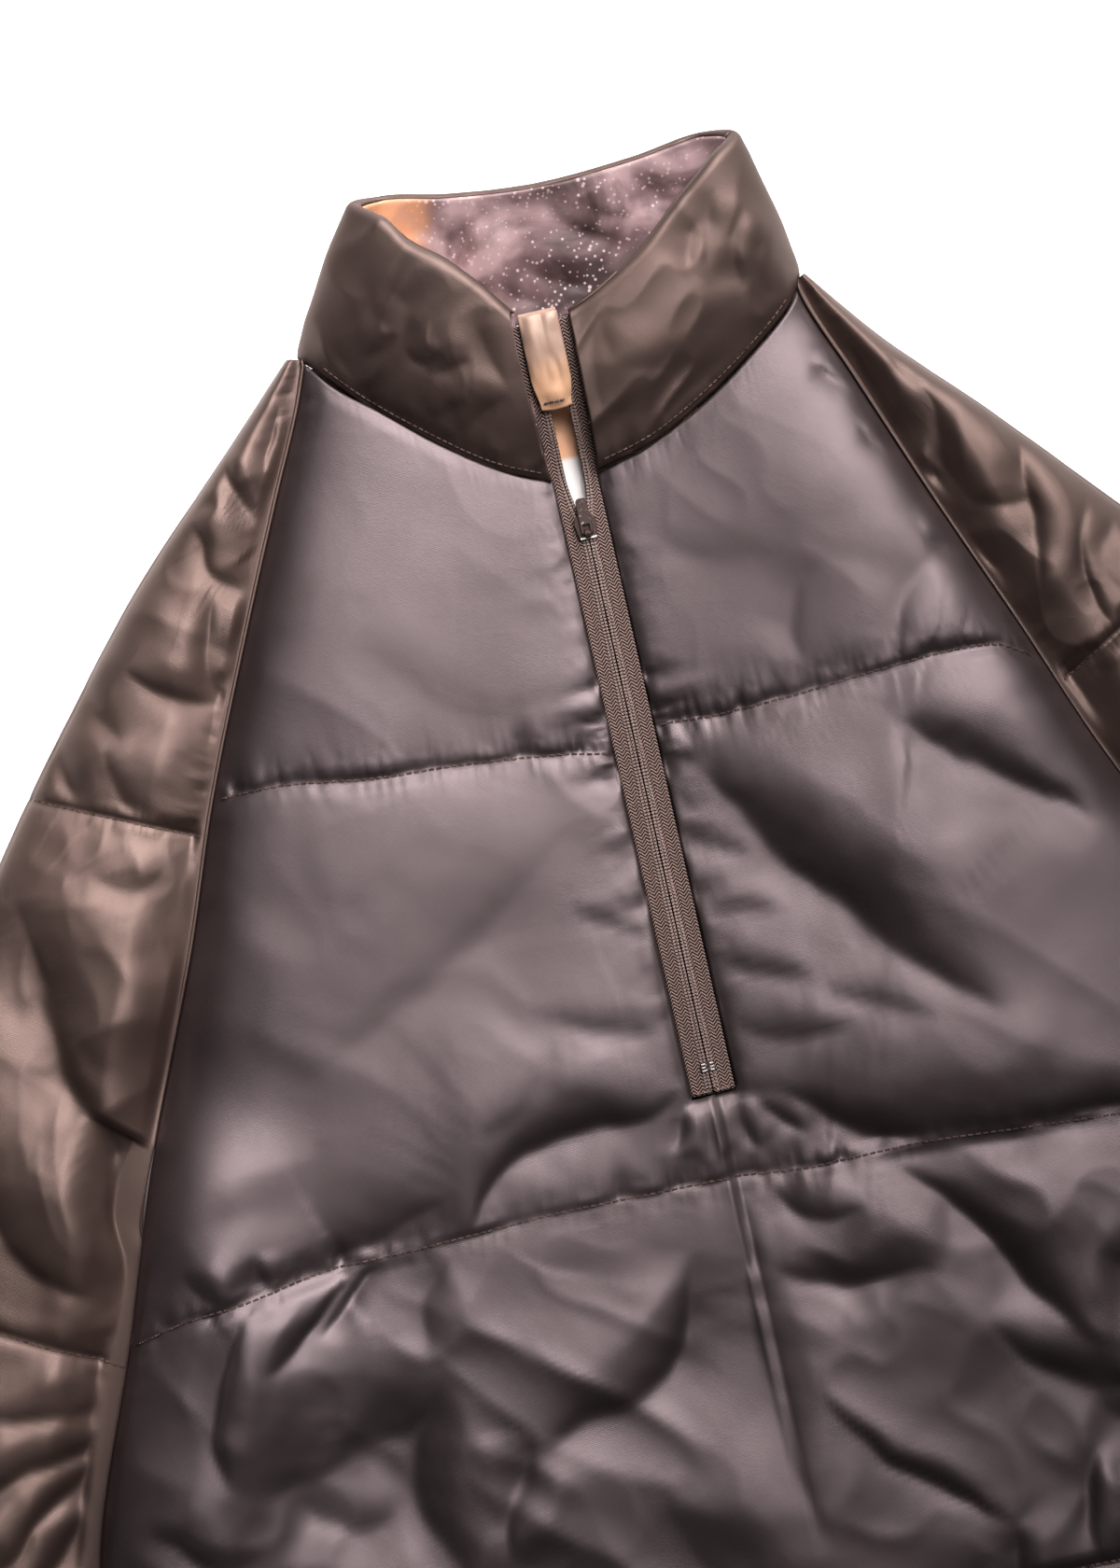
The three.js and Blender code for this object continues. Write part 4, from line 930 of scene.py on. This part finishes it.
pale_cloth = taffeta(
    "pale lining", (0.68, 0.63, 0.62), (0.76, 0.72, 0.71), 0.6, 0.4, (1, 1, 1), 1600.0
)
print_and_shade_band(pale_cloth, (0.66, 0.36, 0.21), (0.2685, 0.2715), (0.297, 0.292))
lining_mesh = cloth_grid(60, 60, lining_place)
lining = new_piece("neck_lining", lining_mesh, pale_cloth, ["back_neck_lining"])
thicken(lining, 0.8)


# Zip tapes. Two woven herringbone tapes with a fine coil along their inner edges, closed below
# the slider and parted above it. Their outer edges go under the cloth beside the slot.
def tape_top(drop):
    """Height of the tapes, which lie in the front and climb to the collar's edge."""
    return crown(np.maximum(drop, 0)) - 3 + 21 * smooth(6, -76, drop)


def tape_inner(drop):
    """Distance of a tape's inner edge from the middle: together below the slider, parted above."""
    return mix(0.12, 4.2, smooth(30, -2, drop))


TAPE_PROFILE = ((0, -0.9), (0.25, 0.1), (0.8, 0.35), (1.6, 0.3), (2.3, 0.05), (2.7, -0.25),
                (3.1, -0.05), (4.2, 0), (9.9, 0))  # across from the inner edge, height
TAPE_WIDTH = 9.85
RIBS = 620  # of the herringbone, in a metre


def tape_place(side, u, v):
    drop = mix(284, -70, v)
    offset = (u if side > 0 else 1 - u) ** 1.3 * TAPE_WIDTH
    near, far = tape_inner(drop), mix(9.98, 13.6, smooth(2, -14, drop))
    x = side * (near + offset * (far - near) / TAPE_WIDTH)
    return x, drop, tape_top(drop) + column(TAPE_PROFILE, 0, 1, offset) - 0.35


tape_cloth, tape_tree, tape_shader, tape_at = new_material("zip tape")
tape_axes = split_node(tape_tree, tape_at)
across_tape = math_node(tape_tree, "ABSOLUTE", tape_axes["X"])
zigzag = math_node(tape_tree, "PINGPONG", across_tape, 0.0022)
slant = math_node(tape_tree, "ADD", zigzag, tape_axes["Y"])
herring = math_node(tape_tree, "SINE", math_node(tape_tree, "MULTIPLY", slant, 2 * math.pi * RIBS))
# Painted shade: the colour follows the ribs' height. It is near black down in the weave's grooves
# and the thread's brown on the ribs.
groove_shade_tone = math_node(tape_tree, "MULTIPLY_ADD", herring, 0.5, 0.5)
connect(tape_tree, tape_shader, {
    "Base Color": ramp_node(
        tape_tree, groove_shade_tone, [(0.2, (0.012, 0.007, 0.006)), (0.8, (0.29, 0.19, 0.165))]
    ),
    "Normal": bump_node(tape_tree, herring, 0.00025, 0.9),
    "Roughness": 0.75,
})

tapes = {}
for side, side_name in ((-1, "left"), (1, "right")):
    tape_mesh = cloth_grid(18, 200, lambda u, v: tape_place(side, u, v))
    tape = new_piece(
        "tape_" + side_name, tape_mesh, tape_cloth, ["zip_tape_" + side_name]
    )
    thicken(tape, 0.8)
    tapes[side] = tape


# Slider. A small die-cast body in brown paint, two plates joined by a post, with an arched crown
# that holds the pull. Its worn edges show bright steel.
SLIDER_DROP = 22.0
PLATE_GAP = 0.6  # between a plate and the tapes
PLATE_THICK = 1.4
ZIP_THICK = 1.2
PLATE_BASE = tape_top(SLIDER_DROP) + PLATE_GAP
slider_y = ORIGIN_DROP - SLIDER_DROP
PIVOT = (0.0, slider_y - 3.6, PLATE_BASE + PLATE_THICK + 1.25)  # of the pull, mm


def metal_paint(name, colour, bare, wear, gloss):
    """Hard paint over steel, rubbed through along the edges."""
    material, tree, shader, place = new_material(name)
    sharpness = tree.nodes.new("ShaderNodeNewGeometry").outputs["Pointiness"]
    chips = map_range(tree, noise_node(tree, place, 900.0), 0.62 - wear, 0.72 - wear)
    worn = math_node(tree, "MULTIPLY", map_range(tree, sharpness, 0.52, 0.62), chips)
    connect(tree, shader, {
        "Base Color": colour_mix(tree, worn, colour, bare),
        "Metallic": worn,
        "Roughness": math_node(tree, "MULTIPLY_ADD", noise_node(tree, place, 400.0), 0.2, 0.24),
        "Normal": bump_node(tree, noise_node(tree, place, 700.0), 0.00005, 0.4),
        "Specular IOR Level": gloss,
    })
    return material


brown_paint = metal_paint("brown paint", (0.060, 0.033, 0.028), (0.6, 0.59, 0.58), 0.0, 0.22)
bare_steel = metal_paint("bare steel", (0.34, 0.32, 0.31), (0.75, 0.74, 0.73), 0.3, 0.5)


def slab(bm, outline, low, high, bevel):
    """A flat outline in millimetres, thickened upwards, with soft edges."""
    before = set(bm.verts)
    face = bm.faces.new([bm.verts.new((x / 1000, y / 1000, low / 1000)) for x, y in outline])
    grown = bmesh.ops.extrude_face_region(bm, geom=[face], use_keep_orig=True)
    top = [g for g in grown["geom"] if isinstance(g, bmesh.types.BMVert)]
    bmesh.ops.translate(bm, verts=top, vec=(0, 0, (high - low) / 1000))
    made = [v for v in bm.verts if v not in before]
    edges = {e for v in made for e in v.link_edges}
    bmesh.ops.recalc_face_normals(bm, faces=list({f for v in made for f in v.link_faces}))
    bmesh.ops.bevel(bm, geom=list(edges), offset=bevel / 1000, segments=2, affect="EDGES",
                    profile=0.5, material=-1)


def block(bm, across, along, low, high, bevel):
    """A slab with a rectangle for its outline."""
    (x0, x1), (y0, y1) = across, along
    slab(bm, [(x0, y0), (x1, y0), (x1, y1), (x0, y1)], low, high, bevel)


SLIDER_OUTLINE = [(-3.9, -6), (3.9, -6), (4.3, -5), (5.2, 1), (4.9, 3.2), (3.6, 5.0), (1.8, 5.85),
                  (-1.8, 5.85), (-3.6, 5.0), (-4.9, 3.2), (-5.2, 1), (-4.3, -5)]
slider_mesh = bmesh.new()
under_top = PLATE_BASE - PLATE_GAP - ZIP_THICK - PLATE_GAP
for low in (PLATE_BASE, under_top - PLATE_THICK):
    outline = [(x, y + slider_y) for x, y in SLIDER_OUTLINE]
    slab(slider_mesh, outline, low, low + PLATE_THICK, 0.35)
block(slider_mesh, (-1.1, 1.1), (slider_y + 3.6, slider_y + 5.2), under_top - 0.4, PLATE_BASE + 0.4,
      0.1)
# the crown is half a ring over the pull's bar, swept from its square section
section = [(1.25, -1.1), (2.05, -1.1), (2.05, 1.1), (1.25, 1.1)]
ring = [slider_mesh.verts.new((x / 1000, (PIVOT[1] + r) / 1000, PIVOT[2] / 1000))
        for r, x in section]
ring_face = slider_mesh.faces.new(ring)
swept = bmesh.ops.spin(slider_mesh, geom=[ring_face], cent=[v / 1000 for v in PIVOT],
                       axis=(1, 0, 0), angle=math.pi, steps=12, use_merge=False,
                       use_duplicate=False)
ends = [g for g in swept["geom_last"] if isinstance(g, bmesh.types.BMVert)]
bmesh.ops.translate(slider_mesh, verts=ring + ends, vec=(0, 0, -0.00135))  # feet in the plate
bmesh.ops.recalc_face_normals(slider_mesh, faces=slider_mesh.faces)
tail_mesh = bmesh.new()
slab(tail_mesh, [(-3.7, slider_y - 6.15), (3.7, slider_y - 6.15), (3.9, slider_y - 5.1),
                 (-3.9, slider_y - 5.1)], PLATE_BASE + 0.2, PLATE_BASE + PLATE_THICK + 0.18, 0.2)
new_piece("slider_tail", tail_mesh, bare_steel, None, smooth_faces=False)
new_piece("slider", slider_mesh, brown_paint, ["zip_slider"], smooth_faces=False)


# Pull. A flat pressed tab in the same brown paint, narrower at its free end, with a window whose
# end bar lies in the slider's crown. It turns about that bar.
PULL_OUTLINE = ((-2.7, 3.95), (2.7, 3.95), (2.5, 14.6), (1.9, 15.7), (1.0, 16), (-1.0, 16),
                (-1.9, 15.7), (-2.5, 14.6))  # from the bar to the free end
PULL_LOW, PULL_HIGH = PIVOT[2] - 0.55, PIVOT[2] + 0.55
pull_mesh = bmesh.new()
slab(pull_mesh, [(x, y + PIVOT[1]) for x, y in PULL_OUTLINE], PULL_LOW, PULL_HIGH, 0.22)
for x in (-2.1, 2.1):
    block(pull_mesh, (x - 0.6, x + 0.6), (PIVOT[1] - 0.4, PIVOT[1] + 4.4), PULL_LOW, PULL_HIGH, 0.2)
block(pull_mesh, (-2.7, 2.7), (PIVOT[1] - 0.55, PIVOT[1] + 0.55), PULL_LOW, PULL_HIGH, 0.25)
new_piece("pull", pull_mesh, brown_paint, ["zip_pull"], body="zip_pull",
          smooth_faces=False)


# Bottom stop. A short pressed staple across both tapes, with the ends of its legs showing as
# three pale bars on each side.
stop_mesh = bmesh.new()
stop_low = tape_top(272) + 0.3
block(stop_mesh, (-3.2, 3.2), (-14.2, -9.8), stop_low, stop_low + 0.75, 0.25)
new_piece("bottom_stop", stop_mesh, brown_paint, ["zip_bottom_stop"],
          smooth_faces=False)
bars_mesh = bmesh.new()
for x in (-1.9, 1.9):
    for y in (-13.5, -12, -10.5):
        block(bars_mesh, (x - 0.95, x + 0.95), (y - 0.35, y + 0.35), stop_low + 0.6,
              stop_low + 0.95, 0.12)
new_piece("stop_bars", bars_mesh, bare_steel, None, smooth_faces=False)


# Zip garage. A tab of tan satin folded over the top of the zip, with painted shade in a darker
# brown over its top and the roll, and a row of stitching near its lower edge. It keeps the slider
# off the chin.
garage_cloth = taffeta(
    "garage satin", (0.52, 0.30, 0.19), (0.66, 0.40, 0.26), 0.5, 0.7, (1, 0.9, 0.8), 1700.0
)
# Painted shade: a darker brown that fades in towards the top of the tab and covers the roll,
# standing for the shade on the roll.
print_and_shade_band(garage_cloth, (0.34, 0.22, 0.175), (0.302, 0.318))
GARAGE_PATH = (  # drop, height above the tape's top
    (-32, 1.2), (-45, 1.6), (-58, 1.9), (-69, 1.5), (-73, 0.6), (-74.4, -0.9), (-73, -2.4),
    (-69, -3.0), (-57, -3.1),
)


def garage_place(u, v):
    step = (1 - v) * (len(GARAGE_PATH) - 1)
    keys = np.arange(len(GARAGE_PATH))
    drop = curve(keys, [p[0] for p in GARAGE_PATH], step)
    above = curve(keys, [p[1] for p in GARAGE_PATH], step)
    low = smooth(-45, -33, drop) * (step < 3)
    x = mix(-9.8 + 1.6 * low * smooth(0.5, 0, u), 7.5 - 1.6 * low * smooth(0.5, 1, u), u)
    swell = 1.6 * np.sin(math.pi * u) ** 0.6 * smooth(-33, -40, drop) * (step < 4)
    crease = 0.8 * patches(x / 5.5, drop / 9, 131) + 0.5 * patches(x / 2.6, drop / 7, 132)
    z = tape_top(np.maximum(drop, -74)) + above + swell
    z += crease * (step < 4) * smooth(-32, -36, drop)
    return x, drop + 0.8 * np.sin(math.pi * u) * low, z


garage_mesh = cloth_grid(36, 110, garage_place)
garage = new_piece("garage", garage_mesh, garage_cloth, ["zip_garage"])
thicken(garage, 0.7)


# Stitching. Brown thread through all the layers: along the quilting lines, above the neck seam,
# on the zip and on its garage. Each stitch is one short raised piece, laid on the cloth.
thread_cloth, thread_tree, thread_shader, thread_place = new_material("brown thread")
thread_colour = ramp_node(thread_tree, noise_node(thread_tree, thread_place, 300.0),
                          [(0.35, (0.05, 0.031, 0.027)), (0.65, (0.14, 0.092, 0.08))])
connect(thread_tree, thread_shader, {
    "Base Color": thread_colour,
    "Normal": bump_node(thread_tree, noise_node(thread_tree, thread_place, 3000.0), 0.0001, 0.6),
    "Roughness": 0.8,
    "Specular IOR Level": 0.2,
})


def walk(places, pitch):
    """Points along a line, one pitch apart."""
    places = np.asarray(places, float)
    run = np.concatenate([[0], np.cumsum(np.hypot(*(places[1:] - places[:-1]).T))])
    at = np.arange(pitch / 2, run[-1], pitch)
    return np.stack([np.interp(at, run, places[:, 0]), np.interp(at, run, places[:, 1])], 1)


def sew(bm, target, places, pitch=3.4, long=2.3, wide=0.75, high=0.8, below=False):
    """Stitches along a line (x, drop), dropped onto a piece from above or raised from below."""
    tree = BVHTree.FromObject(target, bpy.context.evaluated_depsgraph_get())
    way = 1 if below else -1
    points = walk(places, pitch)
    for (x, drop), (ahead_x, ahead_drop) in zip(points[:-1], points[1:]):
        found = []
        for share in (0.0, long / pitch):
            sx, sd = mix(x, ahead_x, share), mix(drop, ahead_drop, share)
            start = (sx / 1000, (ORIGIN_DROP - sd) / 1000, -way * 0.2)
            found.append(tree.ray_cast(start, (0, 0, way))[0])
        if None in found or (found[1] - found[0]).length > 2.2 * long / 1000:
            continue
        middle, run = (found[0] + found[1]) / 2, found[1] - found[0]
        middle.z -= way * high * 0.0003
        turn = run.to_track_quat("X", "Z").to_matrix().to_4x4()
        size = Matrix.Diagonal((run.length, wide / 1000, high / 1000, 1))
        bmesh.ops.create_cube(bm, size=1, matrix=Matrix.Translation(middle) @ turn @ size)


def along_line(line, first, last):
    """A quilting line between two x values."""
    xs = np.linspace(first, last, 160)
    return np.stack([xs, column(line, 0, 1, xs)], 1)


body_stitches = bmesh.new()
for line, end in ((CHEST_LINE, 11.5), (WAIST_LINE, 0), (HIP_LINE, 0)):
    for side in (-1, 1):
        reach = (-line[0][0] if side < 0 else line[-1][0]) - 2
        sew(body_stitches, front, along_line(line, side * end, side * reach))
for line in (CHEST_LINE, WAIST_LINE, HIP_LINE):
    sew(body_stitches, back, along_line(line, line[0][0] + 8, line[-1][0] - 8), below=True)
new_piece("body_stitches", body_stitches, thread_cloth, None, smooth_faces=False)

sleeve_stitches = bmesh.new()
for sleeve in SLEEVES:
    for quilt in SLEEVE_QUILTS:
        for first, last, below in ((0.02, 0.655, False), (0.96, 0.74, True)):
            around = np.linspace(first, last, 120)
            quilt_x, quilt_drop, _ = sleeve_surface(sleeve, around, np.full_like(around, quilt))
            sew(sleeve_stitches, sleeve_pieces[sleeve["name"]],
                np.stack([quilt_x, quilt_drop], 1), below=below)
new_piece("sleeve_stitches", sleeve_stitches, thread_cloth, None,
          smooth_faces=False)

collar_stitches = bmesh.new()
for first, last in ((0.006, 0.285), (0.715, 0.994)):
    part = np.linspace(first, last, 120)
    seam_place = collar_surface(part, np.full_like(part, 3.6 / COLLAR_HEIGHT), COLLAR_FOLDS)[0]
    sew(collar_stitches, collar, seam_place[:2].T, pitch=3.0, long=2.1, wide=0.6, high=0.5)
sew(collar_stitches, garage, [(-7.6, -34.6), (5.4, -34.6)], pitch=2.4, long=1.8)
new_piece("collar_stitches", collar_stitches, thread_cloth, None,
          smooth_faces=False)

chain_cloth = taffeta(
    "chain thread", (0.17, 0.115, 0.105), (0.27, 0.19, 0.175), 0.6, 0.6, (1, 0.9, 0.85), 2500.0
)
chain = bmesh.new()
tape_drops = np.linspace(-68, 282, 300)
for side, tape_piece in tapes.items():
    for offset in (0.75, 2.35):
        coil_x = side * (tape_inner(tape_drops) + offset)
        sew(chain, tape_piece, np.stack([coil_x, tape_drops], 1), pitch=1.5, long=0.9, wide=1.0,
            high=0.7)
    sew(chain, tape_piece, [(side * 0.8, 283), (side * 9.2, 283)], pitch=1.6, long=1.2, wide=0.6)
new_piece("zip_chain", chain, chain_cloth, None, smooth_faces=False)


# Floor and light. A seamless white surface under one large soft lamp beyond the collar, to the
# right of it, with a second one higher up on the same side.
floor_mesh = bmesh.new()
bmesh.ops.create_grid(floor_mesh, x_segments=1, y_segments=1, size=60)
floor_data = bpy.data.meshes.new("floor")
floor_mesh.to_mesh(floor_data)
floor_mesh.free()
floor = bpy.data.objects.new("floor", floor_data)
floor.location.z = -0.0006
bpy.context.collection.objects.link(floor)
paper = bpy.data.materials.new("white paper")
paper.use_nodes = True
connect(paper.node_tree, paper.node_tree.nodes["Principled BSDF"], {
    "Base Color": (0.93, 0.93, 0.93, 1),
    "Roughness": 0.8,
    "Emission Color": (1, 1, 1, 1),
    "Emission Strength": 0.85,
})
floor_data.materials.append(paper)


def soft_lamp(name, place, aim, width, height, watts, spread):
    data = bpy.data.lights.new(name, "AREA")
    data.shape = "RECTANGLE"
    data.size, data.size_y = width, height
    data.energy = watts
    data.spread = math.radians(spread)
    lamp = bpy.data.objects.new(name, data)
    lamp.location = place
    lamp.rotation_euler = (Vector(aim) - Vector(place)).to_track_quat("-Z", "Y").to_euler()
    bpy.context.collection.objects.link(lamp)


soft_lamp("key", (0.24, 1.22, 0.85), (-0.56, 0.36, 0), 1.4, 1.0, 9, spread=68)
soft_lamp("top", (0.1, 0.95, 1.6), (-0.46, 0.32, 0), 1.5, 0.9, 7.2, spread=54)
world = bpy.data.worlds.new("studio")
world.use_nodes = True
connect(world.node_tree, world.node_tree.nodes["Background"],
        {"Color": (1, 1, 1, 1), "Strength": 0.05})
bpy.context.scene.world = world
bpy.context.scene.view_settings.view_transform = "Standard"
bpy.context.scene.view_settings.gamma = 0.84
